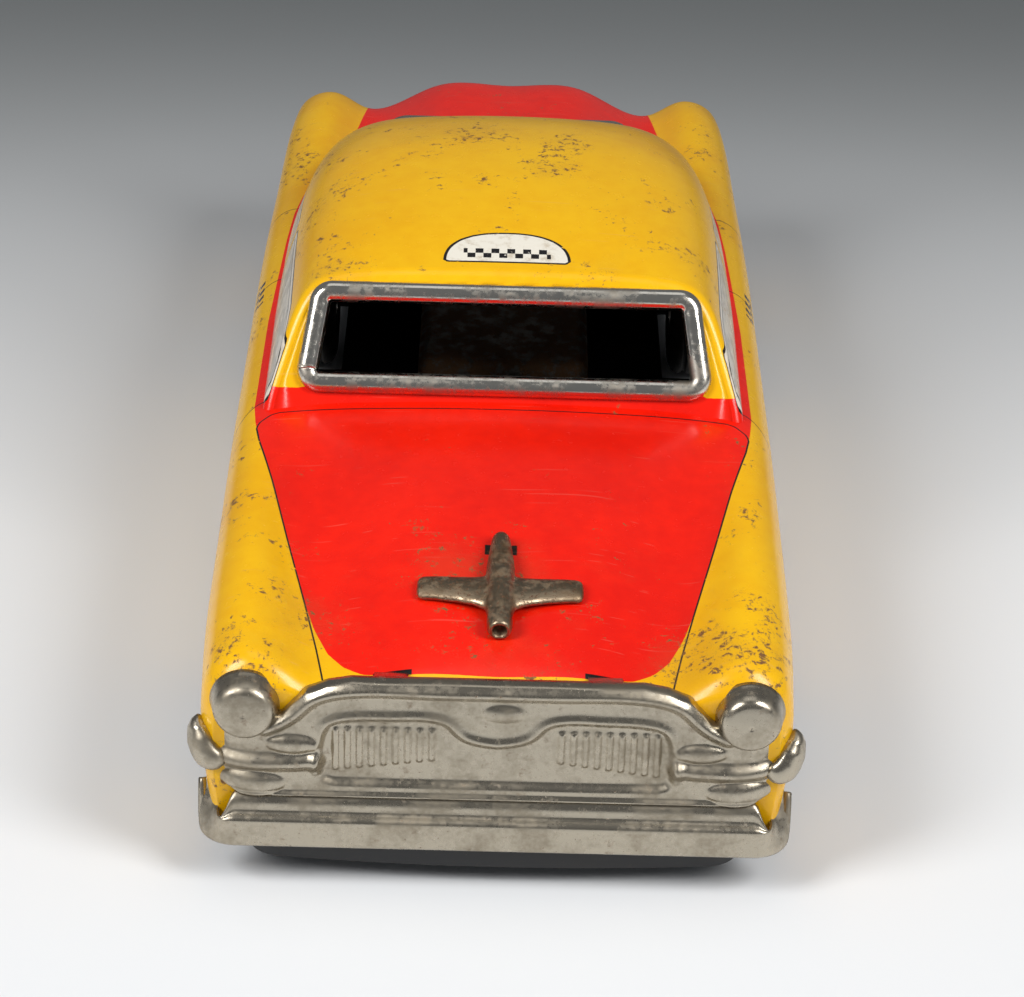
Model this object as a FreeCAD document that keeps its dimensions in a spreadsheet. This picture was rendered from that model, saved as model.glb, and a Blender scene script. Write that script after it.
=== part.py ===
"""Friction tin car: a pressed tin body on a base plate, with axles, wheels and a geared flywheel motor.

Millimetres. +Z up, the car's front faces -Y, the origin is on the ground under the middle of the car.
"""
import FreeCAD, Part

import math
import os

import Sketcher

Vector = FreeCAD.Vector
Rotation = FreeCAD.Rotation
Placement = FreeCAD.Placement

X_AXIS = Vector(1, 0, 0)
Y_AXIS = Vector(0, 1, 0)
Z_AXIS = Vector(0, 0, 1)
ORIGIN = Vector(0, 0, 0)

# Driving dimensions, in millimetres, degrees or counts. Every sub-part reads them from the sheet.
SIZES = {
    "tin_thickness": 0.5,
    "body_end": 97.0,
    "sill_height": 7.2,
    "greenhouse_foot": 30.0,
    "windscreen_y": -29.0,
    "windscreen_z": 39.3,
    "windscreen_angle": 60.0,
    "windscreen_height": 16.4,
    "windscreen_low_half": 31.0,
    "windscreen_top_half": 28.8,
    "rear_window_y": 58.6,
    "rear_window_z": 39.7,
    "rear_window_angle": 137.4,
    "rear_window_height": 15.6,
    "rear_window_low_half": 21.5,
    "rear_window_top_half": 19.5,
    "frame_bead": 2.6,
    "frame_depth": 1.2,
    "frame_corner": 2.6,
    "pillar_round": 1.6,
    "arch_radius": 13.7,
    "arch_height": 11.6,
    "tab_width": 5.0,
    "tab_reach": 3.0,
    "tab_face": 39.05,
    "plate_floor": 3.5,
    "plate_rim": 7.0,
    "plate_half_width": 37.9,
    "tray_half_width": 34.0,
    "tray_end": 98.2,
    "tray_bow": 1.8,
    "well_inner": 28.0,
    "well_half_length": 12.8,
    "axle_height": 13.0,
    "axle_radius": 1.2,
    "axle_half_length": 37.4,
    "front_axle_y": -62.0,
    "rear_axle_y": 58.0,
    "wheel_centre": 33.7,
    "tyre_radius": 13.0,
    "tyre_half_width": 4.5,
    "tyre_round": 2.2,
    "rim_radius": 8.0,
    "rim_seat": 7.2,
    "rim_half_width": 4.2,
    "disc_inner": 1.6,
    "disc_outer": 2.4,
    "boss_radius": 2.8,
    "boss_reach": 3.2,
    "boss_back": 4.0,
    "running_clearance": 0.05,
    "bracket_half_width": 20.0,
    "bracket_half_length": 5.0,
    "bracket_top": 16.5,
    "bracket_tin": 0.6,
    "frame_plate_x": 7.7,
    "frame_plate_tin": 0.6,
    "frame_plate_front": 17.5,
    "frame_plate_rear": 68.5,
    "frame_plate_foot": 4.0,
    "frame_plate_top": 24.0,
    "spacer_radius": 1.2,
    "spacer_tenon": 0.8,
    "spacer_end": 8.8,
    "shaft_radius": 1.0,
    "shaft_height": 15.0,
    "shaft_half_length": 9.0,
    "gear_module": 0.6,
    "gear_teeth": 28,
    "pinion_teeth": 10,
    "pressure_angle": 25.0,
    "tooth_backlash": 0.1,
    "gear_width": 1.6,
    "pinion_width": 2.2,
    "drive_layer": -4.6,
    "middle_layer": 0.0,
    "fly_layer": 4.6,
    "flywheel_radius": 10.0,
    "flywheel_inner": 9.4,
    "flywheel_outer": 12.9,
    "flywheel_shaft_half": 13.1,
    "cover_half_width": 13.8,
    "cover_front": 7.5,
    "cover_rear": 70.0,
    "cover_top": 26.0,
    "cover_tin": 0.4,
    "cover_round": 2.0,
    "cover_slot": 1.7,
    "trim_face": 97.2,
    "trim_tin": 0.6,
    "bumper_face": 100.0,
    "bumper_low": 7.1,
    "bumper_top": 11.6,
    "bumper_half": 40.8,
    "bumper_corner": 4.0,
    "bumper_tip": 92.7,
    "bumper_tip_top": 14.6,
    "headlight_x": 33.4,
    "headlight_z": 28.4,
    "headlight_radius": 3.8,
    "headlight_ring": 4.7,
    "headlight_front": 100.3,
    "rib_count": 9,
    "rib_inner": 8.8,
    "rib_step": 1.5,
    "rib_top": 25.5,
    "rear_lamp_x": 32.0,
    "rear_lamp_z": 22.0,
    "rear_lamp_radius": 2.6,
    "rear_lamp_ring": 3.4,
    "rear_panel_top": 19.0,
    "guard_x": 16.0,
    "guard_width": 3.0,
    "guard_low": 8.2,
    "guard_height": 6.4,
    "ornament_nose": -86.3,
    "ornament_tail": -67.3,
    "ornament_nose_z": 35.0,
    "ornament_tail_z": 37.3,
    "ornament_lip": 1.4,
    "ornament_waist": 1.9,
    "ornament_end": 1.3,
    "wing_half_span": 10.7,
    "wing_root_front": -82.4,
    "wing_root_rear": -75.5,
    "wing_tip_front": -79.5,
    "wing_tip_rear": -75.6,
}

# Body sections from nose to tail. Each row: station y, then the points (x, z) from the centre line over the hood or
# trunk lid, down into the valley, up over the fender crown and down the side to the sill.
BODY_SECTIONS = [
    (-97.0, [(0, 28.6), (12, 28.8), (22.4, 28.6), (31.5, 31.6), (36.2, 30.0), (37.9, 25.0), (37.8, 16)], 37.0),
    (-95.4, [(0, 30.2), (12, 30.3), (23.0, 29.8), (32.2, 33.6), (37.4, 31.4), (39.2, 25.5), (39.0, 16)], 38.0),
    (-92.0, [(0, 31.9), (12, 31.8), (23.8, 30.9), (32.8, 34.9), (38.2, 32.5), (40.0, 26.0), (39.6, 16)], 38.4),
    (-84.0, [(0, 33.6), (13, 33.4), (25.3, 32.0), (33.4, 35.5), (38.6, 33.1), (40.4, 26.5), (39.9, 16)], 38.8),
    (-63.5, [(0, 36.5), (15, 36.2), (29.8, 34.2), (35.2, 36.0), (39.1, 33.6), (40.7, 27.5), (40.2, 16)], 39.0),
    (-34.0, [(0, 38.4), (17, 38.1), (33.0, 36.9), (37.0, 36.0), (39.7, 33.4), (40.9, 28.0), (40.4, 16)], 39.1),
    (0.0, [(0, 39.0), (17, 38.7), (33.2, 37.4), (37.0, 36.3), (39.7, 33.6), (40.9, 28.0), (40.4, 16)], 39.1),
    (40.0, [(0, 39.3), (17, 38.9), (32.4, 37.0), (36.2, 36.9), (39.3, 34.3), (40.5, 28.0), (40.1, 16)], 39.1),
    (62.0, [(0, 39.5), (16.5, 38.7), (28.4, 35.2), (33.6, 37.0), (38.4, 34.8), (40.0, 28.0), (39.7, 16)], 38.9),
    (82.0, [(0, 38.9), (17.0, 38.0), (26.8, 33.9), (32.2, 36.8), (37.8, 34.8), (39.5, 27.5), (39.2, 16)], 38.4),
    (91.5, [(0, 38.3), (17.5, 37.3), (26.3, 33.3), (31.8, 36.2), (37.2, 34.2), (39.0, 27.0), (38.7, 16)], 38.0),
    (95.4, [(0, 36.8), (17.2, 35.8), (26.0, 32.0), (31.4, 34.6), (36.5, 32.7), (38.2, 26.5), (38.0, 16)], 37.6),
    (97.0, [(0, 35.1), (17.0, 34.1), (25.6, 30.6), (31.0, 32.9), (35.7, 31.1), (37.2, 26.0), (37.1, 16)], 37.0),
]

# Roof and window-band sections, the same way: station y, then (x, z) from the centre line out and down.
GREENHOUSE_SECTIONS = [
    (-46.0, [(0, 52.0), (14, 51.9), (24, 51.4), (28.9, 50.4), (31.3, 47.8), (33.6, 43.0), (35.7, 38)], 36.6),
    (-34.0, [(0, 53.0), (14, 52.9), (24, 52.4), (28.9, 51.3), (31.3, 48.6), (33.6, 43.6), (35.7, 38)], 36.6),
    (-22.0, [(0, 54.8), (14, 54.7), (24, 54.2), (29.0, 52.9), (31.4, 50.0), (33.7, 44.5), (35.7, 38.5)], 36.7),
    (-9.0, [(0, 56.8), (14, 56.5), (23.8, 55.4), (29.1, 53.1), (31.7, 49.9), (33.9, 44.5), (35.8, 38.5)], 36.8),
    (4.0, [(0, 58.0), (14, 57.5), (23.6, 56.0), (29.2, 53.2), (31.9, 49.8), (34.0, 44.5), (35.9, 38.5)], 36.8),
    (14.0, [(0, 58.3), (14, 57.7), (23.5, 56.1), (29.1, 53.2), (31.8, 49.8), (34.0, 44.4), (35.8, 38.5)], 36.7),
    (24.0, [(0, 57.9), (14, 57.3), (23.4, 55.6), (28.8, 52.8), (31.6, 49.4), (33.8, 44.2), (35.6, 38.5)], 36.5),
    (35.0, [(0, 56.2), (14, 55.6), (22.8, 53.9), (28.1, 51.1), (31.0, 47.9), (33.2, 43.2), (35.1, 38.0)], 36.2),
    (47.0, [(0, 52.0), (13, 51.6), (21.8, 50.3), (26.9, 47.9), (29.9, 44.8), (32.1, 40.8), (33.8, 37.0)], 35.2),
    (59.0, [(0, 44.8), (12, 44.5), (20.2, 43.4), (25.2, 41.6), (28.2, 39.2), (30.2, 36.6), (31.8, 34.0)], 33.0),
    (70.0, [(0, 36.0), (11, 35.7), (18.0, 35.0), (22.0, 34.2), (24.5, 33.4), (26.6, 32.4), (28.2, 31.4)], 29.2),
]

# Where the folded tabs stand along each sill.
TAB_STATIONS = (-30.0, -5.0, 25.0)

document = FreeCAD.newDocument("friction_tin_car")
sheet = document.addObject("Spreadsheet::Sheet", "sizes")
for row, (alias, value) in enumerate(SIZES.items(), start=1):
    sheet.set(f"A{row}", alias)
    sheet.set(f"B{row}", str(value))
    sheet.setAlias(f"B{row}", alias)
document.recompute()

sub_parts = []


def size(alias):
    """A driving dimension as a number."""
    return float(sheet.get(alias))


def shape_part(label, shape):
    """A sub-part whose form is computed here from the sheet's sizes."""
    part = document.addObject("Part::Feature", label)
    part.Label = label
    part.Shape = shape
    sub_parts.append(part)
    return part


def new_body(label):
    body = document.addObject("PartDesign::Body", label)
    body.Label = label
    sub_parts.append(body)
    return body


def sketch_on(body, role, name):
    """A sketch on one of the body's own base planes: XY_Plane, XZ_Plane or YZ_Plane."""
    plane = next(feature for feature in body.Origin.OriginFeatures if feature.Role == role)
    sketch = body.newObject("Sketcher::SketchObject", name)
    sketch.AttachmentSupport = [(plane, "")]
    sketch.MapMode = "FlatFace"
    return sketch


def bind_datum(sketch, constraint, name, expression):
    sketch.renameConstraint(constraint, name)
    sketch.setExpression(f"Constraints.{name}", expression)


def number(expression):
    """The present value of a sheet expression such as 'sizes.rim_radius - sizes.tin_thickness'."""
    return float(sheet.evalExpression(expression.replace("sizes.", "")))


def draw_circle(sketch, radius, across="0", up="0", name="circle"):
    """A circle whose radius and centre follow the sheet."""
    x, y = number(across), number(up)
    index = sketch.addGeometry(Part.Circle(Vector(x, y, 0), Z_AXIS, number(radius)), False)
    bind_datum(sketch, sketch.addConstraint(Sketcher.Constraint("Radius", index, number(radius))),
               f"{name}_radius", radius)
    pin_point(sketch, index, 3, across, up, name)


def pin_point(sketch, geometry, vertex, across, up, name):
    """Ties one point of a sketch to the origin at distances that follow the sheet."""
    for axis, line, kind, expression in (("x", -2, "DistanceX", across), ("y", -1, "DistanceY", up)):
        if expression == "0":
            sketch.addConstraint(Sketcher.Constraint("PointOnObject", geometry, vertex, line))
            continue
        value = number(expression)
        datum = sketch.addConstraint(Sketcher.Constraint(kind, -1, 1, geometry, vertex, value))
        bind_datum(sketch, datum, f"{name}_{axis}", expression)


def draw_polygon(sketch, corners, name="corner"):
    """A closed outline. Each corner is a pair of sheet expressions."""
    points = [Vector(number(across), number(up), 0) for across, up in corners]
    first = sketch.GeometryCount
    for index, point in enumerate(points):
        following = points[(index + 1) % len(points)]
        sketch.addGeometry(Part.LineSegment(point, following), False)
    for index in range(len(points)):
        following = first + (index + 1) % len(points)
        sketch.addConstraint(Sketcher.Constraint("Coincident", first + index, 2, following, 1))
    for index, (across, up) in enumerate(corners):
        pin_point(sketch, first + index, 1, across, up, f"{name}{index}")


def pad(body, sketch, length, name, both_ways=False):
    feature = body.newObject("PartDesign::Pad", name)
    feature.Profile = sketch
    feature.setExpression("Length", length)
    feature.Midplane = both_ways
    body.Tip = feature
    return feature


def revolve(body, sketch, name):
    """Turns a sketch about its own horizontal axis."""
    feature = body.newObject("PartDesign::Revolution", name)
    feature.Profile = sketch
    feature.ReferenceAxis = (sketch, ["H_Axis"])
    feature.Angle = 360.0
    body.Tip = feature
    return feature


def bind_place(part, across="0 mm", along="0 mm", up="0 mm"):
    """Places a sub-part by the sheet, keeping its rotation."""
    for axis, expression in (("x", across), ("y", along), ("z", up)):
        part.setExpression(f".Placement.Base.{axis}", expression)


# ------------------------------------------------------------------------------------------------ body shell

def full_outline(half, foot_x, foot_z):
    """Points of a whole section, from the left foot over the top to the right foot."""
    right = [*half, (foot_x, foot_z)]
    left = [(-x, z) for x, z in reversed(right[1:])]
    return left + right


def inset(points, distance):
    """Moves each point of an outline inwards, square to its neighbours' chord."""
    moved = []
    last = len(points) - 1
    for index, (x, z) in enumerate(points):
        before = points[max(index - 1, 0)]
        after = points[min(index + 1, last)]
        run, rise = after[0] - before[0], after[1] - before[1]
        length = math.hypot(run, rise)
        moved.append((x + distance * rise / length, z - distance * run / length))
    return moved


def section_wire(y, points, foot_z):
    """A section closed by a straight line at its foot."""
    outline = [Vector(x, y, z) for x, z in points]
    outline[0].z = foot_z
    outline[-1].z = foot_z
    arch = Part.BSplineCurve()
    arch.interpolate(outline)
    return Part.Wire([arch.toShape(), Part.makeLine(outline[-1], outline[0])])


def lofted(sections, foot_z, wall, end_pull):
    """A solid through the sections. With a wall it is the hollow inside, drawn in at both ends by end_pull."""
    wires = []
    reach = max(abs(y) for y, _, _ in sections)
    for y, half, foot_x in sections:
        points = full_outline(half, foot_x, foot_z)
        if wall:
            points = inset(points, wall)
        wires.append(section_wire(y * (reach - end_pull) / reach, points, foot_z))
    return Part.makeLoft(wires, True, False)


def slanted_block(y, z, angle, depth):
    """A block on the outer side of a slanted window plane, to cut the roof back to that plane."""
    width, height, thickness = 120.0, 80.0, 60.0
    block = Part.makeBox(width, height, thickness, Vector(-width / 2, -height / 2, 0.0))
    block.Placement = Placement(Vector(0, y, z), Rotation(X_AXIS, angle))
    return block.translated(block.Placement.Rotation.multVec(Z_AXIS) * -depth)


def window_blocks(depth):
    front = slanted_block(size("windscreen_y"), size("windscreen_z"), size("windscreen_angle"), depth)
    rear = slanted_block(size("rear_window_y"), size("rear_window_z"), size("rear_window_angle") - 180.0, depth)
    return front, rear


def plane_edges(solid, y, z, angle):
    """Edges of the solid that lie in the slanted plane through (y, z), foot edge left out."""
    normal = Rotation(X_AXIS, angle).multVec(Z_AXIS)
    point = Vector(0, y, z)
    found = []
    for edge in solid.Edges:
        first, last = edge.ParameterRange
        samples = [edge.valueAt(first + (last - first) * step / 6.0) for step in range(7)]
        in_plane = all(abs((sample - point).dot(normal)) < 0.01 for sample in samples)
        above_foot = any(sample.z > size("greenhouse_foot") + 1.0 for sample in samples)
        if in_plane and above_foot:
            found.append(edge)
    return found


def greenhouse(wall):
    solid = lofted(GREENHOUSE_SECTIONS, size("greenhouse_foot"), wall, 0.0)
    for block in window_blocks(wall):
        solid = solid.cut(block)
    if not wall:
        front = plane_edges(solid, size("windscreen_y"), size("windscreen_z"), size("windscreen_angle"))
        rear_angle = size("rear_window_angle") - 180.0
        rear = plane_edges(solid, size("rear_window_y"), size("rear_window_z"), rear_angle)
        solid = solid.makeFillet(size("pillar_round"), front + rear)
    return solid


def window_hole(y, z, angle, low_half, top_half, height, margin):
    """A prism through a slanted window plane, as large as the opening inside its frame."""
    reach = 8.0
    corners = [
        Vector(-low_half + margin, margin, -reach),
        Vector(low_half - margin, margin, -reach),
        Vector(top_half - margin, height - margin, -reach),
        Vector(-top_half + margin, height - margin, -reach),
    ]
    face = Part.Face(Part.makePolygon([*corners, corners[0]]))
    prism = face.extrude(Vector(0, 0, 2 * reach))
    upright = [edge for edge in prism.Edges if abs(edge.tangentAt(edge.FirstParameter).z) > 0.99]
    prism = prism.makeFillet(1.0, upright)
    prism.Placement = Placement(Vector(0, y, z), Rotation(X_AXIS, angle))
    return prism


def wheel_arch(y):
    """The round cut-outs of both sides at one axle, leaving the middle of the car alone."""
    reach, inner = 50.0, size("well_inner")
    arch = Part.makeCylinder(size("arch_radius"), 2 * reach, Vector(-reach, y, size("arch_height")), X_AXIS)
    middle = Part.makeBox(2 * inner, 2 * reach, reach, Vector(-inner, y - reach, 0.0))
    return arch.cut(middle)


def folded_tab(side, y):
    """A tab of the sill bent under the base plate's rim."""
    tin, width, outer = size("tin_thickness"), size("tab_width"), size("tab_face")
    low = size("plate_rim") - 3 * tin + 0.4
    upright_height = size("sill_height") + 0.5 - low
    upright = Part.makeBox(tin, width, upright_height, Vector(outer - tin, y - width / 2, low))
    fold = Part.makeBox(size("tab_reach"), width, tin - 0.1,
                        Vector(outer - size("tab_reach"), y - width / 2, low))
    tab = upright.fuse(fold).removeSplitter()
    return tab if side > 0 else tab.mirror(ORIGIN, X_AXIS)


def body_shell():
    wall = size("tin_thickness")
    sill = size("sill_height")
    lower = lofted(BODY_SECTIONS, sill, 0.0, 0.0)
    hollow = lofted(BODY_SECTIONS, sill, wall, wall)
    half, end = size("plate_half_width"), size("body_end") - wall
    open_foot = Part.makeBox(2 * half, 2 * end, 4.0, Vector(-half, -end, sill - 3.0))
    outer = lower.fuse(greenhouse(0.0))
    shell = outer.cut(hollow).cut(greenhouse(wall)).cut(open_foot)
    for window in ("windscreen", "rear_window"):
        hole = window_hole(*(size(f"{window}_{name}") for name in (
            "y", "z", "angle", "low_half", "top_half", "height")), size("frame_bead") - wall)
        shell = shell.cut(hole)
    for axle_y in (size("front_axle_y"), size("rear_axle_y")):
        shell = shell.cut(wheel_arch(axle_y))
    for side in (-1, 1):
        for tab_y in TAB_STATIONS:
            shell = shell.fuse(folded_tab(side, tab_y))
    return shape_part("body_shell", shell), outer


body_part, body_outer = body_shell()

# ------------------------------------------------------------------------------------------ window frames

def picked_edges(body, feature, wanted):
    """Names of the feature's edges that pass a test on their end points and direction."""
    document.recompute()
    names = []
    for index, edge in enumerate(feature.Shape.Edges, start=1):
        if wanted(edge):
            names.append(f"Edge{index}")
    return names


def round_edges(body, feature, wanted, radius, name):
    rounded = body.newObject("PartDesign::Fillet", name)
    rounded.Base = (feature, picked_edges(body, feature, wanted))
    rounded.setExpression("Radius", radius)
    body.Tip = rounded
    return rounded


def is_upright(edge):
    return len(edge.Vertexes) == 2 and abs(edge.tangentAt(edge.FirstParameter).z) > 0.99


def window_frame(label, low_half, top_half, height):
    """A bead bent round a window opening, standing on the slanted face of the roof."""
    body = new_body(label)
    sketch = sketch_on(body, "XY_Plane", f"{label}_outline")
    draw_polygon(sketch, [
        (f"-{low_half}", "sizes.frame_bead / 8"),
        (low_half, "sizes.frame_bead / 8"),
        (top_half, height),
        (f"-{top_half}", height),
    ], "outer")
    draw_polygon(sketch, [
        (f"-{low_half} + sizes.frame_bead", "sizes.frame_bead"),
        (f"{low_half} - sizes.frame_bead", "sizes.frame_bead"),
        (f"{top_half} - sizes.frame_bead", f"{height} - sizes.frame_bead"),
        (f"-{top_half} + sizes.frame_bead", f"{height} - sizes.frame_bead"),
    ], "inner")
    ring = pad(body, sketch, "sizes.frame_depth", f"{label}_ring")
    outer = number(top_half) - number("sizes.frame_bead / 2")

    def outer_corner(edge):
        return is_upright(edge) and abs(edge.Vertexes[0].Point.x) > outer

    def inner_corner(edge):
        return is_upright(edge) and not outer_corner(edge)

    cornered = round_edges(body, ring, outer_corner, "sizes.frame_corner", f"{label}_corners")
    cornered = round_edges(body, cornered, inner_corner, "sizes.frame_corner / 2", f"{label}_inner_corners")

    def on_top(edge):
        return all(abs(vertex.Point.z - number("sizes.frame_depth")) < 0.01 for vertex in edge.Vertexes)

    round_edges(body, cornered, on_top, "sizes.frame_depth * 0.7", f"{label}_bead")
    return body


windshield = window_frame(
    "windshield_frame", "sizes.windscreen_low_half", "sizes.windscreen_top_half", "sizes.windscreen_height")
windshield.Placement = Placement(
    Vector(0, size("windscreen_y"), size("windscreen_z")), Rotation(X_AXIS, size("windscreen_angle")))
bind_place(windshield, "0 mm", "sizes.windscreen_y", "sizes.windscreen_z")

rear_window = window_frame(
    "rear_window_frame", "sizes.rear_window_low_half", "sizes.rear_window_top_half", "sizes.rear_window_height")
rear_window.Placement = Placement(
    Vector(0, size("rear_window_y"), size("rear_window_z")),
    Rotation(X_AXIS, size("rear_window_angle") - 180.0) * Rotation(Z_AXIS, 180.0))
bind_place(rear_window, "0 mm", "sizes.rear_window_y", "sizes.rear_window_z")


# --------------------------------------------------------------------------------------------- base plate

def bowed_outline(half, end, bow):
    """A closed outline with straight sides and gently bowed ends."""
    corners = [Vector(-half, bow - end, 0), Vector(half, bow - end, 0),
               Vector(half, end - bow, 0), Vector(-half, end - bow, 0)]
    front = Part.Arc(corners[0], Vector(0, -end, 0), corners[1]).toShape()
    rear = Part.Arc(corners[2], Vector(0, end, 0), corners[3]).toShape()
    right = Part.makeLine(corners[1], corners[2])
    left = Part.makeLine(corners[3], corners[0])
    return Part.Face(Part.Wire([front, right, rear, left]))


def rounded_slab(half, end, bow, low, high, corner):
    slab = bowed_outline(half, end, bow).extrude(Vector(0, 0, high - low)).translated(Vector(0, 0, low))
    return slab.makeFillet(corner, [edge for edge in slab.Edges if is_upright(edge)])


def wheel_well(side, y):
    """The cut-out of the base plate round one wheel."""
    length = 2 * size("well_half_length")
    across = size("well_inner") if side > 0 else -size("well_inner") - 20.0
    return Part.makeBox(20.0, length, 20.0, Vector(across, y - length / 2, 0.0))


def base_plate():
    tin, floor, rim = size("tin_thickness"), size("plate_floor"), size("plate_rim")
    half, end, bow = size("tray_half_width"), size("tray_end"), size("tray_bow")
    tray = rounded_slab(half, end, bow, floor, rim, 5.0)
    dish = rounded_slab(half - tin, end - tin, bow, floor + tin, rim + tin, 4.5)
    rim_end = size("body_end") - tin - 0.5
    ledge = Part.makeBox(2 * size("plate_half_width"), 2 * rim_end, tin,
                         Vector(-size("plate_half_width"), -rim_end, rim - tin))
    plate = tray.fuse(ledge).cut(dish)
    for y in (size("front_axle_y"), size("rear_axle_y")):
        for side in (-1, 1):
            plate = plate.cut(wheel_well(side, y))
    return shape_part("base_plate", plate.removeSplitter())


base_plate()


# ----------------------------------------------------------------------------------------- front and rear trim

def bar_through(points, radius):
    """A round bar through the points, with a ball at each bend and end."""
    stations = [Vector(*point) for point in points]
    pieces = [Part.makeSphere(radius, station) for station in stations[1:]]
    for first, second in zip(stations, stations[1:]):
        run = second - first
        pieces.append(Part.makeCylinder(radius, run.Length, first, run))
    return Part.makeSphere(radius, stations[0]).multiFuse(pieces)


def smooth_points(points, count):
    """Evenly spaced points on a smooth curve through the given ones."""
    curve = Part.BSplineCurve()
    curve.interpolate([Vector(x, z, 0) for x, z in points])
    return [(point.x, point.y) for point in curve.discretize(count)]


def ribbon(half_path, width, rise):
    """A symmetric raised strip on a trim panel, from points (x, z) of its right half."""
    left = [(-x, z) for x, z in reversed(half_path[1:])]
    middle = smooth_points(left + half_path, 41)
    one_edge = inset(middle, width / 2)
    other_edge = inset(middle, -width / 2)
    base = -size("trim_face") - 0.2
    corners = [Vector(x, base, z) for x, z in one_edge + list(reversed(other_edge))]
    face = Part.Face(Part.makePolygon([*corners, corners[0]]))
    return face.extrude(Vector(0, -(rise + size("trim_tin") - 0.2), 0))


def largest(shape):
    """The one connected piece, without the crumbs a cut along a curved face can leave."""
    return max(shape.Solids, key=lambda piece: piece.Volume)


def both_sides(shape):
    return [shape, shape.mirror(ORIGIN, X_AXIS)]


def plate_outline(corners, y, thickness):
    """A flat plate across the car, its face at y, from corners given as (x, z)."""
    points = [Vector(x, y, z) for x, z in corners]
    return Part.Face(Part.makePolygon([*points, points[0]])).extrude(Vector(0, thickness, 0))


def bumper(low, top, tip_top):
    """A bar with a flat face, round corners and short returns, and the ledge behind it."""
    half, face, tip = size("bumper_half"), size("bumper_face"), size("bumper_tip")
    tin, corner = size("trim_tin"), size("bumper_corner")

    def rounded_bar(offset):
        bar = Part.makeBox(2 * (half - offset), face - tip, tip_top - low,
                           Vector(offset - half, offset - face, low))
        front_edges = [edge for edge in bar.Edges
                       if is_upright(edge) and edge.Vertexes[0].Point.y < -tip - tin]
        return bar.makeFillet(corner - offset, front_edges)

    band = rounded_bar(0.0).cut(rounded_bar(tin))
    above = Part.makeBox(2 * (half - corner), 2 * face, tip_top, Vector(corner - half, -face, top))
    band = band.cut(above)
    ledge = Part.makeBox(2 * (half - corner), face - size("trim_face") - tin / 2, tin,
                         Vector(corner - half, tin / 2 - face, top - tin))
    lip = bar_through([(corner - half, 0.6 - face, top - 0.1), (half - corner, 0.6 - face, top - 0.1)], 0.5)
    return band.multiFuse([ledge, lip])


def grille_ribs(face):
    """Two groups of upright ribs, longer towards the sides."""
    ribs = []
    rib_radius, shortest, growth = 0.42, 4.8, 0.2
    for index in range(int(size("rib_count"))):
        across = size("rib_inner") + index * size("rib_step")
        length = shortest + growth * index
        foot = Vector(across, -face, size("rib_top") - length)
        ribs.extend(both_sides(Part.makeCylinder(rib_radius, length, foot, Z_AXIS)))
    return ribs


def round_lamp(x, z, radius, rim, front, back):
    """A domed lamp in a raised ring, turned about its own axis."""
    base = front - 0.5 * radius
    profile = [
        Part.Arc(Vector(x, -front, z), Vector(x + 0.55 * radius, 0.16 * radius - front, z),
                 Vector(x + radius, -base, z)).toShape(),
    ]
    corners = [Vector(x + radius, -base, z), Vector(x + radius + 0.3, 0.2 - base, z),
               Vector(x + rim - 0.3, -0.3 - base, z), Vector(x + rim, 0.1 - base, z),
               Vector(x + rim, -back, z), Vector(x, -back, z), Vector(x, -front, z)]
    for first, second in zip(corners, corners[1:]):
        profile.append(Part.makeLine(first, second))
    return Part.Face(Part.Wire(profile)).revolve(Vector(x, 0, z), Y_AXIS, 360.0)


def headlight():
    return round_lamp(size("headlight_x"), size("headlight_z"), size("headlight_radius"), size("headlight_ring"),
                      size("headlight_front"), size("trim_face") + 0.15)


def front_trim():
    face, tin = size("trim_face"), size("trim_tin")
    front = face + tin
    half_panel = [(36, size("bumper_top")), (36, 22.5), (33, 26.2), (28.5, 30.2), (23, 32.2)]
    panel = plate_outline(half_panel + [(-x, z) for x, z in reversed(half_panel)], -front, tin)
    arch = ribbon([(0, 32.0), (10, 32.0), (19.5, 31.9), (24.4, 30.4), (26.8, 28.2), (28.0, 26.6)], 1.9, 1.1)
    frame = ribbon([(0, 23.5), (3.0, 24.0), (6.2, 26.4), (9.0, 27.4), (14.5, 27.6), (20.3, 27.2), (23.2, 25.4),
                    (24.0, 21.5), (23.6, 17.6)], 1.4, 0.8)
    line = ribbon([(0, 16.3), (8, 16.32), (16, 16.4), (22.8, 16.7)], 0.9, 0.5)
    roll = ribbon([(0, 13.4), (10, 13.4), (20, 13.4), (33, 13.4)], 1.6, 0.9)
    boss = Part.makeCylinder(2.1, 0.7, Vector(0, -front - 0.5, 28.9), Y_AXIS)
    horn = bar_through([(23.6, -98.5, 20.4), (29.0, -98.7, 20.4), (34.6, -98.5, 20.3), (38.4, -97.2, 21.0),
                        (39.4, -94.3, 23.2)], 1.35)
    bulge = bar_through([(30.6, -98.0, 16.6), (34.0, -98.1, 16.4), (36.8, -97.9, 16.7)], 1.4)
    pieces = [arch, frame, line, roll, boss]
    pieces.append(bumper(size("bumper_low"), size("bumper_top"), size("bumper_tip_top")))
    pieces += grille_ribs(front)
    for piece in (horn, bulge, headlight()):
        pieces += both_sides(piece)
    trim = panel.multiFuse(pieces)
    return shape_part("front_trim", largest(trim.cut(body_outer)))


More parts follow.
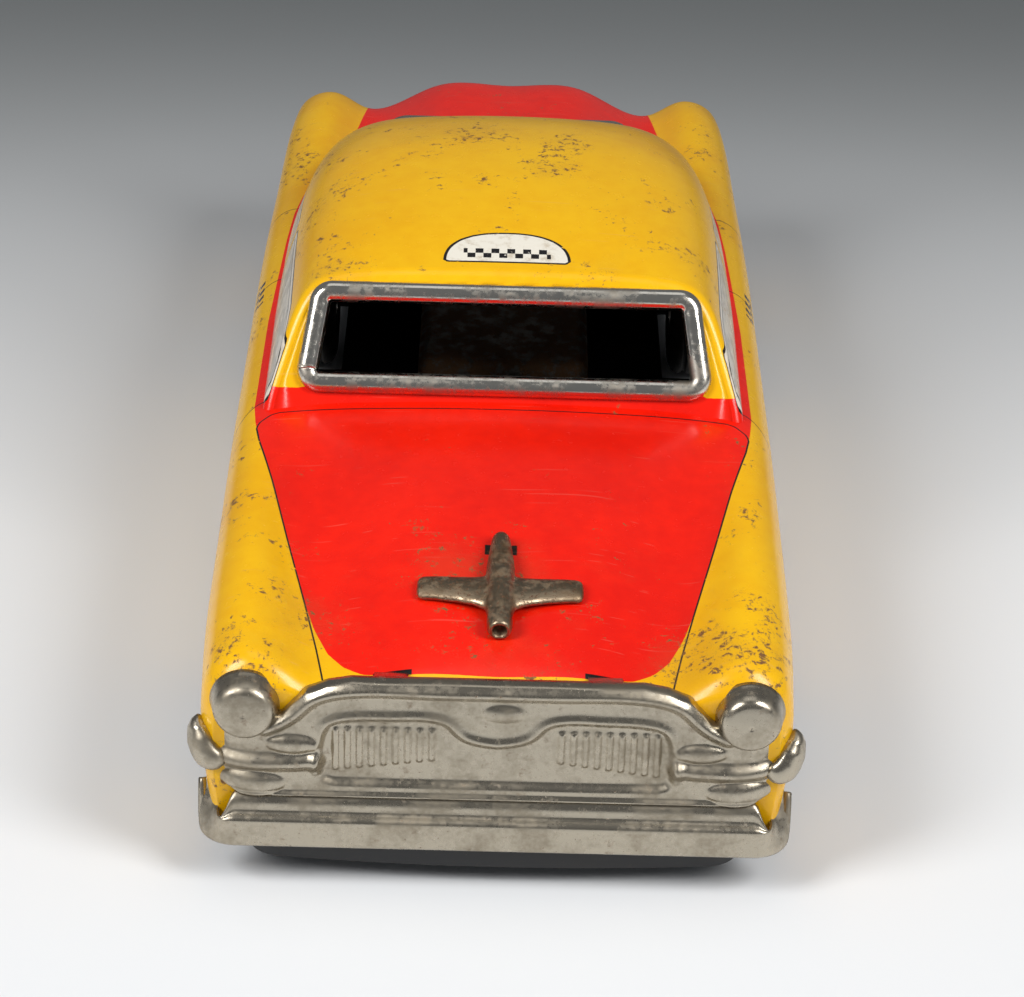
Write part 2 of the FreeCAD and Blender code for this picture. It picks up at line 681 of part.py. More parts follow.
def rear_trim():
    """The rear bumper pressing with two round lamps, a plainer copy of the front one."""
    face, tin = size("trim_face"), size("trim_tin")
    front = face + tin
    low, top, half = size("bumper_top"), size("rear_panel_top"), 36.0
    panel = plate_outline([(-half, low), (half, low), (half, top), (-half, top)], -front, tin)
    bar = ribbon([(0, 18.9), (12, 18.88), (24, 18.8), (35.6, 18.6)], 1.5, 0.9)
    lamp = round_lamp(size("rear_lamp_x"), size("rear_lamp_z"), size("rear_lamp_radius"), size("rear_lamp_ring"),
                      front + 2.0, face + 0.15)
    guard = Part.makeBox(size("guard_width"), 0.9, size("guard_height"),
                         Vector(size("guard_x"), -size("headlight_front"), size("guard_low")))
    guard = guard.makeFillet(0.4, guard.Edges)
    pieces = [bar, bumper(size("bumper_low"), size("bumper_top"), size("bumper_tip_top"))]
    for piece in (lamp, guard):
        pieces += both_sides(piece)
    trim = panel.multiFuse(pieces)
    trim.rotate(ORIGIN, Z_AXIS, 180.0)
    return shape_part("rear_trim", largest(trim.cut(body_outer)))


def wing(root_z, tip_z, root_thickness, tip_thickness):
    """The right wing of the ornament, tapering to a rounded tip."""
    half = size("wing_half_span")

    def outline(x, z, thickness, end):
        front, rear = size(f"wing_{end}_front"), size(f"wing_{end}_rear")
        corners = [Vector(x, front, z), Vector(x, rear, z + 0.3), Vector(x, rear, z + 0.3 + thickness),
                   Vector(x, front, z + thickness)]
        return Part.makePolygon([*corners, corners[0]])

    blade = Part.makeLoft([outline(0, root_z, root_thickness, "root"), outline(half, tip_z, tip_thickness, "tip")],
                          True, True)
    tip_radius = 0.75
    tip_length = size("wing_tip_rear") - size("wing_tip_front")
    tip_centre = Vector(half, size("wing_tip_front"), tip_z + 0.15 + tip_thickness / 2)
    return [blade, Part.makeCylinder(tip_radius, tip_length, tip_centre, Y_AXIS)]


def hood_ornament():
    """A small jet plane lying on the hood, nose forward."""
    start = Vector(0, size("ornament_nose"), size("ornament_nose_z"))
    finish = Vector(0, size("ornament_tail"), size("ornament_tail_z"))
    along = (finish - start).normalize()
    lip, waist, end = size("ornament_lip"), size("ornament_waist"), size("ornament_end")
    lip_length, waist_length = 5.0, 8.0
    waist_start = start + along * lip_length
    boom_start = waist_start + along * waist_length
    foot_height = 3.0
    foot = Part.makeBox(2.0, finish.y - start.y - 3.0, foot_height,
                        Vector(-1.0, start.y + 2.0, start.z - foot_height - 0.2))
    pieces = [
        Part.makeSphere(lip, start),
        Part.makeCylinder(waist, waist_length, waist_start, along),
        Part.makeCone(waist, end, (finish - boom_start).Length, boom_start, along),
        Part.makeSphere(end, finish),
        foot,
    ]
    for piece in wing(35.1, 34.9, 1.6, 1.1):
        pieces += both_sides(piece)
    fuselage = Part.makeCone(lip, waist, lip_length, start, along)
    return shape_part("hood_ornament", largest(fuselage.multiFuse(pieces).cut(body_outer)))


front_trim()
rear_trim()
hood_ornament()


# --------------------------------------------------------------------------------------- axles and wheels

def shaft(label, radius, half_length, along, up):
    """A plain round rod across the car."""
    body = new_body(label)
    sketch = sketch_on(body, "YZ_Plane", f"{label}_circle")
    draw_circle(sketch, radius)
    pad(body, sketch, f"2 * {half_length}", f"{label}_rod", both_ways=True)
    bind_place(body, "0 mm", along, up)
    return body


def turned(label, profile):
    """A body turned about the X axis from a profile of (x, radius) expressions."""
    body = new_body(label)
    sketch = sketch_on(body, "XZ_Plane", f"{label}_profile")
    draw_polygon(sketch, profile)
    return body, revolve(body, sketch, f"{label}_turned")


def tyre(label, side, along):
    half, outer, inner = "sizes.tyre_half_width", "sizes.tyre_radius", "sizes.rim_radius"
    body, ring = turned(label, [
        (f"-{half}", inner), (half, inner), (half, outer), (f"-{half}", outer)])

    def on_tread(edge):
        return isinstance(edge.Curve, Part.Circle) and abs(edge.Curve.Radius - number(outer)) < 0.01

    round_edges(body, ring, on_tread, "sizes.tyre_round", f"{label}_shoulders")
    place_wheel(body, side, along)
    return body


def hub(label, side, along):
    rim, seat, outer = "sizes.rim_half_width", "sizes.rim_seat", "sizes.rim_radius"
    disc_in, disc_out, boss = "sizes.disc_inner", "sizes.disc_outer", "sizes.boss_radius"
    body, _ = turned(label, [
        ("-sizes.boss_back", "sizes.axle_radius"), ("sizes.boss_reach", "sizes.axle_radius"),
        ("sizes.boss_reach", boss), (disc_out, f"{boss} + 0.5"), (disc_out, f"{seat} - 0.6"), (rim, seat),
        (rim, outer), (f"-{rim}", outer), (f"-{rim}", seat), (disc_in, seat), (disc_in, boss),
        ("-sizes.boss_back", boss)])
    place_wheel(body, side, along)
    return body


def place_wheel(body, side, along):
    turn = Rotation(Z_AXIS, 0.0 if side > 0 else 180.0)
    body.Placement = Placement(ORIGIN, turn)
    sign = "" if side > 0 else "-"
    bind_place(body, f"{sign}sizes.wheel_centre", along, "sizes.axle_height")


for end in ("front", "rear"):
    for hand, side in (("left", -1), ("right", 1)):
        tyre(f"tyre_{end}_{hand}", side, f"sizes.{end}_axle_y")
        hub(f"hub_{end}_{hand}", side, f"sizes.{end}_axle_y")
    shaft(f"{end}_axle", "sizes.axle_radius", "sizes.axle_half_length", f"sizes.{end}_axle_y", "sizes.axle_height")


def front_axle_bracket():
    """A bent strip on the base plate with one ear at each end for the front axle."""
    label = "front_axle_bracket"
    body = new_body(label)
    sketch = sketch_on(body, "XZ_Plane", f"{label}_profile")
    half, foot, top, tin = ("sizes.bracket_half_width", "sizes.frame_plate_foot", "sizes.bracket_top",
                            "sizes.bracket_tin")
    draw_polygon(sketch, [
        (f"-{half}", foot), (half, foot), (half, top), (f"{half} - {tin}", top),
        (f"{half} - {tin}", f"{foot} + {tin}"), (f"-{half} + {tin}", f"{foot} + {tin}"),
        (f"-{half} + {tin}", top), (f"-{half}", top)])
    strip = pad(body, sketch, "2 * sizes.bracket_half_length", f"{label}_strip", both_ways=True)

    def ear_corner(edge):
        along_x = len(edge.Vertexes) == 2 and abs(edge.tangentAt(edge.FirstParameter).x) > 0.99
        return along_x and all(abs(v.Point.z - number(top)) < 0.01 for v in edge.Vertexes)

    round_edges(body, strip, ear_corner, "sizes.bracket_half_length * 0.6", f"{label}_ears")
    holes = sketch_on(body, "YZ_Plane", f"{label}_holes")
    draw_circle(holes, "sizes.axle_radius + sizes.running_clearance", "0", "sizes.axle_height")
    pocket = body.newObject("PartDesign::Pocket", f"{label}_drilled")
    pocket.Profile = holes
    pocket.setExpression("Length", f"4 * {half}")
    pocket.Midplane = True
    body.Tip = pocket
    bind_place(body, "0 mm", "sizes.front_axle_y", "0 mm")


front_axle_bracket()


# ------------------------------------------------------------------------------------------- flywheel motor

def centre_distance():
    return size("gear_module") * (size("gear_teeth") + size("pinion_teeth")) / 2


def shaft_line():
    """Centres (y, z) of the rear axle and the three shafts, each one centre distance apart."""
    axle = (size("rear_axle_y"), size("axle_height"))
    rise = size("shaft_height") - axle[1]
    step = math.sqrt(centre_distance() ** 2 - rise ** 2)
    first = (axle[0] - step, size("shaft_height"))
    second = (first[0] - centre_distance(), first[1])
    flywheel = (second[0] - centre_distance(), second[1])
    return axle, first, second, flywheel


AXLE, FIRST, SECOND, FLYWHEEL = shaft_line()
for row, (alias, value) in enumerate(
        (("first_shaft_y", FIRST[0]), ("second_shaft_y", SECOND[0]), ("flywheel_shaft_y", FLYWHEEL[0])),
        start=len(SIZES) + 1):
    sheet.set(f"A{row}", alias)
    sheet.set(f"B{row}", f"{value:.6f}")
    sheet.setAlias(f"B{row}", alias)
document.recompute()


def involute(angle):
    return math.tan(angle) - angle


def gear(label, teeth, width, bore, centre, layer, phase):
    """A spur gear on the X direction, with the middle of one tooth at the phase angle."""
    module, pressure = size("gear_module"), math.radians(size("pressure_angle"))
    pitch = module * teeth / 2
    base = pitch * math.cos(pressure)
    tip = pitch + 0.8 * module
    root = pitch - 1.05 * module
    half_pitch_angle = math.pi / (2 * teeth) - size("tooth_backlash") / (4 * pitch)
    start = max(base, root)
    flank = []
    steps = 6
    for step in range(steps + 1):
        radius = start + (tip - start) * step / steps
        angle = half_pitch_angle + involute(pressure) - involute(math.acos(base / radius))
        flank.append((radius, angle))
    if root < base:
        flank.insert(0, (root, flank[0][1]))
    points = []
    for tooth in range(teeth):
        middle = phase + 2 * math.pi * tooth / teeth
        for radius, angle in flank:
            points.append((radius, middle - angle))
        for radius, angle in reversed(flank):
            points.append((radius, middle + angle))
    outline = [Vector(layer - width / 2, centre[0] + radius * math.cos(angle), centre[1] + radius * math.sin(angle))
               for radius, angle in points]
    face = Part.Face(Part.makePolygon([*outline, outline[0]]))
    blank = face.extrude(Vector(width, 0, 0))
    hole = Part.makeCylinder(bore, 3 * width, Vector(layer - 1.5 * width, centre[0], centre[1]), X_AXIS)
    return shape_part(label, blank.cut(hole))


def direction(start, end):
    return math.atan2(end[1] - start[1], end[0] - start[0])


def meshed_pair(gear_label, pinion_label, gear_centre, pinion_centre, layer, gear_bore):
    """A gear with a tooth, and a pinion with a gap, on the line between their centres."""
    along = direction(gear_centre, pinion_centre)
    pinion_teeth = int(size("pinion_teeth"))
    gear(gear_label, int(size("gear_teeth")), size("gear_width"), gear_bore, gear_centre, layer, along)
    gear(pinion_label, pinion_teeth, size("pinion_width"), size("shaft_radius"), pinion_centre, layer,
         along + math.pi + math.pi / pinion_teeth)


meshed_pair("drive_gear", "first_pinion", AXLE, FIRST, size("drive_layer"), size("axle_radius"))
meshed_pair("first_gear", "second_pinion", FIRST, SECOND, size("middle_layer"), size("shaft_radius"))
meshed_pair("second_gear", "flywheel_pinion", SECOND, FLYWHEEL, size("fly_layer"), size("shaft_radius"))

for shaft_name in ("first_shaft", "second_shaft"):
    shaft(shaft_name, "sizes.shaft_radius", "sizes.shaft_half_length", f"sizes.{shaft_name}_y",
          "sizes.shaft_height")
shaft("flywheel_shaft", "sizes.shaft_radius", "sizes.flywheel_shaft_half", "sizes.flywheel_shaft_y",
      "sizes.shaft_height")


def flywheel(label, side):
    """A heavy disc, thick at its rim and boss."""
    near, far, outer = "sizes.flywheel_inner", "sizes.flywheel_outer", "sizes.flywheel_radius"
    web, boss = f"{outer} * 0.7", f"{outer} * 0.28"
    body, _ = turned(label, [
        (near, "sizes.shaft_radius"), (far, "sizes.shaft_radius"), (far, boss), (f"{far} - 0.9", boss),
        (f"{far} - 0.9", web), (far, web), (far, outer), (near, outer), (near, web), (f"{near} + 0.9", web),
        (f"{near} + 0.9", boss), (near, boss)])
    body.Placement = Placement(ORIGIN, Rotation(Z_AXIS, 0.0 if side > 0 else 180.0))
    bind_place(body, "0 mm", "sizes.flywheel_shaft_y", "sizes.shaft_height")


flywheel("flywheel_left", -1)
flywheel("flywheel_right", 1)

SPACERS = [(66.3, 21.6), (66.3, 6.2), (20.0, 6.6), (19.8, 21.8)]


def motor_frame(label, side):
    """A flat side plate with a hole for every shaft and spacer."""
    body = new_body(label)
    sketch = sketch_on(body, "YZ_Plane", f"{label}_outline")
    front, rear = "sizes.frame_plate_front", "sizes.frame_plate_rear"
    foot, top = "sizes.frame_plate_foot", "sizes.frame_plate_top"
    draw_polygon(sketch, [(front, foot), (rear, foot), (rear, top), (front, top)])
    running = "sizes.running_clearance"
    draw_circle(sketch, f"sizes.axle_radius + {running}", "sizes.rear_axle_y", "sizes.axle_height", "axle_hole")
    for name in ("first_shaft", "second_shaft", "flywheel_shaft"):
        draw_circle(sketch, f"sizes.shaft_radius + {running}", f"sizes.{name}_y", "sizes.shaft_height",
                    f"{name}_hole")
    for index, (along, up) in enumerate(SPACERS):
        draw_circle(sketch, "sizes.spacer_tenon", f"{along}", f"{up}", f"spacer{index}_hole")
    plate = pad(body, sketch, "sizes.frame_plate_tin", f"{label}_plate")

    def outer_corner(edge):
        along_x = len(edge.Vertexes) == 2 and abs(edge.tangentAt(edge.FirstParameter).x) > 0.99
        at_end = abs(edge.Vertexes[0].Point.z - number(top)) < 0.01
        return along_x and at_end and not isinstance(edge.Curve, Part.Circle)

    round_edges(body, plate, outer_corner, "4 * sizes.shaft_radius", f"{label}_corners")
    across = "sizes.frame_plate_x" if side > 0 else "-sizes.frame_plate_x - sizes.frame_plate_tin"
    bind_place(body, across, "0 mm", "0 mm")


motor_frame("motor_frame_left", -1)
motor_frame("motor_frame_right", 1)


def frame_spacers():
    """Four shouldered rivets that hold the two side plates apart."""
    rivets = []
    for along, up in SPACERS:
        middle = Part.makeCylinder(size("spacer_radius"), 2 * size("frame_plate_x"),
                                   Vector(-size("frame_plate_x"), along, up), X_AXIS)
        tenon = Part.makeCylinder(size("spacer_tenon"), 2 * size("spacer_end"),
                                  Vector(-size("spacer_end"), along, up), X_AXIS)
        rivets.append(middle.fuse(tenon))
    return shape_part("frame_spacers", Part.makeCompound(rivets))


frame_spacers()


def motor_cover():
    """An open-bottomed tin box over the motor, slotted for the rear axle."""
    label = "motor_cover"
    body = new_body(label)
    sketch = sketch_on(body, "XY_Plane", f"{label}_outline")
    half, front, rear = "sizes.cover_half_width", "sizes.cover_front", "sizes.cover_rear"
    draw_polygon(sketch, [(f"-{half}", front), (half, front), (half, rear), (f"-{half}", rear)])
    block = pad(body, sketch, "sizes.cover_top - sizes.frame_plate_foot", f"{label}_block")

    def not_foot(edge):
        return any(vertex.Point.z > 1.0 for vertex in edge.Vertexes)

    rounded = round_edges(body, block, not_foot, "sizes.cover_round", f"{label}_rounded")
    document.recompute()
    foot = next(f"Face{index}" for index, face in enumerate(rounded.Shape.Faces, start=1)
                if face.BoundBox.ZMax < 0.01)
    hollow = body.newObject("PartDesign::Thickness", f"{label}_hollow")
    hollow.Base = (rounded, [foot])
    hollow.setExpression("Value", "sizes.cover_tin")
    hollow.Reversed = True
    body.Tip = hollow
    slot = sketch_on(body, "YZ_Plane", f"{label}_slot")
    near, far = "sizes.rear_axle_y - sizes.cover_slot", "sizes.rear_axle_y + sizes.cover_slot"
    slot_top = "sizes.axle_height - sizes.frame_plate_foot + sizes.cover_slot"
    slot_foot = "-sizes.cover_slot"
    draw_polygon(slot, [(near, slot_foot), (far, slot_foot), (far, slot_top), (near, slot_top)])
    cut = body.newObject("PartDesign::Pocket", f"{label}_slotted")
    cut.Profile = slot
    cut.setExpression("Length", f"4 * {half}")
    cut.Midplane = True
    body.Tip = cut
    bind_place(body, "0 mm", "0 mm", "sizes.frame_plate_foot")


motor_cover()


# ------------------------------------------------------------------------------------------- checks and files

document.recompute()
for item in document.Objects:
    troubles = [state for state in item.State if state in ("Invalid", "Error")]
    if troubles:
        raise RuntimeError(f"{item.Label}: {troubles}")

os.makedirs("parts", exist_ok=True)
for part in sub_parts:
    shape = part.Shape
    if shape.isNull() or not shape.isValid():
        raise RuntimeError(f"{part.Label}: no valid shape")
    box = shape.BoundBox
    print(f"{part.Label:22} {len(shape.Solids)} solid(s) {shape.Volume:9.1f} mm3"
          f"  x {box.XMin:7.2f} {box.XMax:7.2f}  y {box.YMin:7.2f} {box.YMax:7.2f}"
          f"  z {box.ZMin:6.2f} {box.ZMax:6.2f}")
    shape.exportStep(f"parts/{part.Label}.step")
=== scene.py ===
"""Friction tin car: printed tin body, plated pressings, wheels, motor, studio floor and lights.

Shapes are worked out in millimetres in the CAD frame (+Z up, front faces -Y) and stored in metres.
"""
import math

import bpy
import numpy as np
from mathutils import Matrix, Vector


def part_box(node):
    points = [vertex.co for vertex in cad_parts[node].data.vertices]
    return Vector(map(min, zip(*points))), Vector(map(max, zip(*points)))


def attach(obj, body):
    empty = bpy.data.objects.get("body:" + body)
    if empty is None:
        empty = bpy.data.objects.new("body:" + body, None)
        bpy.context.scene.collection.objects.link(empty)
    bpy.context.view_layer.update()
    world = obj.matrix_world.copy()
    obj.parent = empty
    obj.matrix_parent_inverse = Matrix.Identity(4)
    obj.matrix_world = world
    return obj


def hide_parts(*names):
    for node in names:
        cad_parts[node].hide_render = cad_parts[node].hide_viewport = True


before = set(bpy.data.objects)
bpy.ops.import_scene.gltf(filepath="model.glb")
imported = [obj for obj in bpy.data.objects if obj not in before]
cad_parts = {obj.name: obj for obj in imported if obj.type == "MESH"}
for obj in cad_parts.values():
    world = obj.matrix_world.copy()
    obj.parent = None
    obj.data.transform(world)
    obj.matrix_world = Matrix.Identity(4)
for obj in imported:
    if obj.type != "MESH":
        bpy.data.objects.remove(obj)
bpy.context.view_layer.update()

MM = 0.001


def node_box(name):
    """Lowest and highest corners of a CAD node, in millimetres."""
    low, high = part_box(name)
    return np.array(low) / MM, np.array(high) / MM


# ------------------------------------------------------------------------------------------------ curves

def spline(knots, values, query):
    """Natural cubic spline through values at the knots, read at the query positions."""
    knots = np.asarray(knots, float)
    values = np.asarray(values, float)
    flat = values.reshape(len(knots), -1)
    gaps = np.diff(knots)
    slopes = np.diff(flat, axis=0) / gaps[:, None]
    matrix = np.eye(len(knots))
    right = np.zeros_like(flat)
    for i in range(1, len(knots) - 1):
        matrix[i, i - 1:i + 2] = gaps[i - 1], 2 * (gaps[i - 1] + gaps[i]), gaps[i]
        right[i] = 6 * (slopes[i] - slopes[i - 1])
    second = np.linalg.solve(matrix, right)
    query = np.asarray(query, float)
    at = np.clip(np.searchsorted(knots, query, side="right") - 1, 0, len(gaps) - 1)
    gap = gaps[at][:, None]
    b = ((query - knots[at]) / gaps[at])[:, None]
    a = 1.0 - b
    bend = ((a ** 3 - a) * second[at] + (b ** 3 - b) * second[at + 1]) * gap ** 2 / 6
    return (a * flat[at] + b * flat[at + 1] + bend).reshape(len(query), *values.shape[1:])


def smooth_path(points, counts):
    """Samples of a smooth curve through the points, with a count of samples for each gap."""
    points = np.asarray(points, float)
    knots = np.concatenate([[0.0], np.cumsum(np.linalg.norm(np.diff(points, axis=0), axis=1))])
    if np.isscalar(counts):
        counts = [counts] * (len(points) - 1)
    parts = [np.linspace(a, b, count, endpoint=False) for a, b, count in zip(knots, knots[1:], counts)]
    return spline(knots, points, np.concatenate([*parts, knots[-1:]]))


def polyline_distance(x, y, points):
    """Distance from each (x, y) to a chain of straight runs."""
    nearest = np.full(np.shape(x), 1e9)
    for (ax, ay), (bx, by) in zip(points, points[1:]):
        run_x, run_y = bx - ax, by - ay
        share = np.clip(((x - ax) * run_x + (y - ay) * run_y) / (run_x ** 2 + run_y ** 2), 0, 1)
        nearest = np.minimum(nearest, np.hypot(x - ax - share * run_x, y - ay - share * run_y))
    return nearest


def polygon_inside(x, y, points):
    """Distance from each (x, y) to a closed outline, positive inside it."""
    ring = [*points, points[0]]
    inside = np.zeros(np.shape(x), bool)
    for (ax, ay), (bx, by) in zip(ring, ring[1:]):
        crosses = (ay > y) != (by > y)
        at = ax + (y - ay) * (bx - ax) / np.where(by == ay, 1e-9, by - ay)
        inside ^= crosses & (x < at)
    distance = polyline_distance(x, y, ring)
    return np.where(inside, distance, -distance)


def smoothstep(value, low, high):
    share = np.clip((value - low) / (high - low), 0, 1)
    return share * share * (3 - 2 * share)


# ------------------------------------------------------------------------------------------------ meshes

def grid_faces(rows, columns, closed_columns=False, closed_rows=False):
    """Quads of a grid whose vertices are numbered row by row."""
    faces = []
    for row in range(rows if closed_rows else rows - 1):
        below, above = row * columns, (row + 1) % rows * columns
        for column in range(columns if closed_columns else columns - 1):
            following = (column + 1) % columns
            faces.append((below + column, below + following, above + following, above + column))
    return faces


def make_piece(name, vertices, faces, material, body="car", replaces=(), scalars=None):
    """A mesh piece from millimetre vertices, riding on a body."""
    mesh = bpy.data.meshes.new(name)
    mesh.from_pydata((np.asarray(vertices) * MM).tolist(), [], faces)
    mesh.validate()
    for label, values in (scalars or {}).items():
        layer = mesh.attributes.new(label, "FLOAT", "POINT")
        layer.data.foreach_set("value", np.asarray(values, np.float32))
    mesh.polygons.foreach_set("use_smooth", [True] * len(mesh.polygons))
    mesh.materials.append(material)
    piece = bpy.data.objects.new(name, mesh)
    bpy.context.scene.collection.objects.link(piece)
    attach(piece, body)
    if replaces:
        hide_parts(*replaces)
    return piece


class Mesh:
    """Gathers several grids into one vertex list."""

    def __init__(self):
        self.vertices = []
        self.faces = []
        self.count = 0

    def add(self, vertices, faces):
        vertices = np.asarray(vertices, float).reshape(-1, 3)
        self.vertices.append(vertices)
        self.faces += [tuple(index + self.count for index in face) for face in faces]
        self.count += len(vertices)
        return self

    def add_grid(self, grid, **closed):
        return self.add(grid, grid_faces(grid.shape[0], grid.shape[1], **closed))

    def mirrored(self):
        """The same again, mirrored to the other side of the car."""
        vertices = np.vstack(self.vertices) * [-1, 1, 1]
        return self.add(vertices, [tuple(reversed(face)) for face in list(self.faces)])

    def arrays(self):
        return np.vstack(self.vertices), self.faces


def lathe(profile, centre, axis, segments=48):
    """A surface turned about an axis through the centre. The profile is (radius, distance along the axis)."""
    profile = np.asarray(profile, float)
    axis = np.asarray(axis, float)
    side = np.cross(axis, [0, 0, 1] if abs(axis[2]) < 0.9 else [1, 0, 0])
    side /= np.linalg.norm(side)
    other = np.cross(axis, side)
    turns = np.linspace(0, 2 * math.pi, segments, endpoint=False)
    ring = np.cos(turns)[:, None] * side + np.sin(turns)[:, None] * other
    grid = profile[:, 0][:, None, None] * ring[None] + profile[:, 1][:, None, None] * axis
    return grid + np.asarray(centre, float)


def tube(path, radii, segments=20, flatten=1.0):
    """A round or oval tube along a path, closed by pinching its end rings."""
    path = np.asarray(path, float)
    tangents = np.gradient(path, axis=0)
    tangents /= np.linalg.norm(tangents, axis=1)[:, None]
    turns = np.linspace(0, 2 * math.pi, segments, endpoint=False)
    rings = []
    for point, tangent, radius in zip(path, tangents, radii):
        side = np.cross(tangent, [0, 0, 1])
        side /= np.linalg.norm(side)
        up = np.cross(side, tangent)
        rings.append(point + radius * (np.cos(turns)[:, None] * side * flatten + np.sin(turns)[:, None] * up))
    return np.array(rings)


def add_modifier(piece, kind, **settings):
    modifier = piece.modifiers.new(kind.lower(), kind)
    for name, value in settings.items():
        setattr(modifier, name, value)
    return modifier


# ------------------------------------------------------------------------------------------------ shaders

class Shader:
    """Builds one node material. Positions are in millimetres."""

    def __init__(self, name):
        self.material = bpy.data.materials.new(name)
        self.material.use_nodes = True
        self.tree = self.material.node_tree
        self.surface = next(node for node in self.tree.nodes if node.type == "BSDF_PRINCIPLED")
        coordinates = self.tree.nodes.new("ShaderNodeTexCoord")
        scale = self.tree.nodes.new("ShaderNodeVectorMath")
        scale.operation = "SCALE"
        scale.inputs["Scale"].default_value = 1 / MM
        self.tree.links.new(coordinates.outputs["Object"], scale.inputs[0])
        self.place = scale.outputs[0]

    def put(self, socket, value):
        if isinstance(value, bpy.types.NodeSocket):
            self.tree.links.new(value, socket)
        elif isinstance(value, (tuple, list)) and len(socket.default_value) == 4:
            socket.default_value = (*value[:3], 1.0)
        else:
            socket.default_value = value

    def set(self, **values):
        for name, value in values.items():
            self.put(self.surface.inputs[name.replace("_", " ")], value)

    def math(self, operation, first, second=0.0):
        node = self.tree.nodes.new("ShaderNodeMath")
        node.operation = operation
        self.put(node.inputs[0], first)
        self.put(node.inputs[1], second)
        return node.outputs[0]

    def add(self, first, second):
        return self.math("ADD", first, second)

    def times(self, first, second):
        return self.math("MULTIPLY", first, second)

    def less(self, first, second):
        return self.math("SUBTRACT", first, second)

    def absolute(self, value):
        return self.math("ABSOLUTE", value)

    def either(self, *masks):
        """The largest of several masks."""
        result = masks[0]
        for mask in masks[1:]:
            result = self.math("MAXIMUM", result, mask)
        return result

    def step(self, value, low, high):
        """0 below low, 1 above high, smooth between. low may be larger than high."""
        node = self.tree.nodes.new("ShaderNodeMapRange")
        node.interpolation_type = "SMOOTHSTEP"
        falling = low > high
        self.put(node.inputs["Value"], value)
        self.put(node.inputs["From Min"], min(low, high))
        self.put(node.inputs["From Max"], max(low, high))
        self.put(node.inputs["To Min"], 1.0 if falling else 0.0)
        self.put(node.inputs["To Max"], 0.0 if falling else 1.0)
        return node.outputs["Result"]

    def scale_to(self, value, low, high):
        """A 0 to 1 value stretched to low to high."""
        return self.add(self.times(value, high - low), low)

    def mix(self, share, first, second):
        node = self.tree.nodes.new("ShaderNodeMix")
        node.data_type = "RGBA"
        colours = [socket for socket in node.inputs if socket.type == "RGBA"]
        self.put(node.inputs[0], share)
        self.put(colours[0], first)
        self.put(colours[1], second)
        return next(socket for socket in node.outputs if socket.type == "RGBA")

    def attribute(self, name):
        node = self.tree.nodes.new("ShaderNodeAttribute")
        node.attribute_name = name
        return node.outputs["Fac"]

    def axes(self):
        node = self.tree.nodes.new("ShaderNodeSeparateXYZ")
        self.tree.links.new(self.place, node.inputs[0])
        return node.outputs

    def stretched(self, scale, shift=(0, 0, 0), turn=(0, 0, 0)):
        node = self.tree.nodes.new("ShaderNodeMapping")
        self.tree.links.new(self.place, node.inputs["Vector"])
        node.inputs["Scale"].default_value = scale
        node.inputs["Location"].default_value = shift
        node.inputs["Rotation"].default_value = turn
        return node.outputs[0]

    def noise(self, scale, detail=4.0, roughness=0.55, shift=0.0, stretch=None, distortion=0.0):
        node = self.tree.nodes.new("ShaderNodeTexNoise")
        node.inputs["Scale"].default_value = scale
        node.inputs["Detail"].default_value = detail
        node.inputs["Roughness"].default_value = roughness
        node.inputs["Distortion"].default_value = distortion
        vector = self.stretched(stretch or (1, 1, 1), (shift, shift * 0.7, shift * 1.3))
        self.tree.links.new(vector, node.inputs["Vector"])
        return node.outputs["Fac"]

    def scratches(self, scale, turn, shift=0.0):
        """Fine straight lines in one direction."""
        node = self.tree.nodes.new("ShaderNodeTexNoise")
        node.inputs["Scale"].default_value = scale
        node.inputs["Detail"].default_value = 1.0
        vector = self.stretched((0.035, 1.6, 0.6), (shift, shift, shift), (0, 0, turn))
        self.tree.links.new(vector, node.inputs["Vector"])
        return self.step(node.outputs["Fac"], 0.74, 0.77)

    def bump(self, height, distance_mm, strength):
        node = self.tree.nodes.new("ShaderNodeBump")
        node.inputs["Strength"].default_value = strength
        node.inputs["Distance"].default_value = distance_mm * MM
        self.put(node.inputs["Height"], height)
        self.put(self.surface.inputs["Normal"], node.outputs[0])


YELLOW = (0.90, 0.50, 0.004)
DEEP_YELLOW = (0.84, 0.42, 0.001)
RED = (0.93, 0.013, 0.002)
DEEP_RED = (0.76, 0.008, 0.002)
INK = (0.012, 0.011, 0.012)
CREAM = (0.76, 0.70, 0.60)
PANE = (0.42, 0.40, 0.36)
RUST = (0.29, 0.13, 0.038)
DARK_RUST = (0.11, 0.047, 0.018)
DIRT = (0.24, 0.13, 0.045)

STAINED_CREAM = (0.40, 0.33, 0.25)
LIGHT_PANE = (0.66, 0.61, 0.53)
BADGE_CREAM = (0.84, 0.79, 0.68)
STAINED_BADGE = (0.62, 0.54, 0.42)
SCRATCH = (0.70, 0.52, 0.38)
# Black painted into the tab slots as the shade inside them.
SLOT_SHADE_BLACK = (0.004, 0.004, 0.004)

CHECK_MM = 1.2
BADGE_FRONT_Y = -16.7
BADGE_HALF = 9.4
BADGE_DEPTH = 7.7
BADGE_POWER = 2.4
DOOR_MARK_Y = 13.0
DOOR_MARK_Z = 32.6
DOOR_SPLIT_Y = 13.5
DOOR_REAR_Y = 40.0
DOOR_FOOT_Z = 10.4
DOOR_MIDDLE_Y = 4.2
DOOR_HALF_LENGTH = 35.8
PANE_INSET = 1.25
REFLECTION_SLOPE = 0.7
REFLECTION_SHIFTS = (30.0, 26.6, 1.0)


def ink_line(s, distance, half_width=0.1):
    """A printed line where the distance is near zero."""
    return s.step(s.absolute(distance), half_width + 0.04, half_width - 0.04)


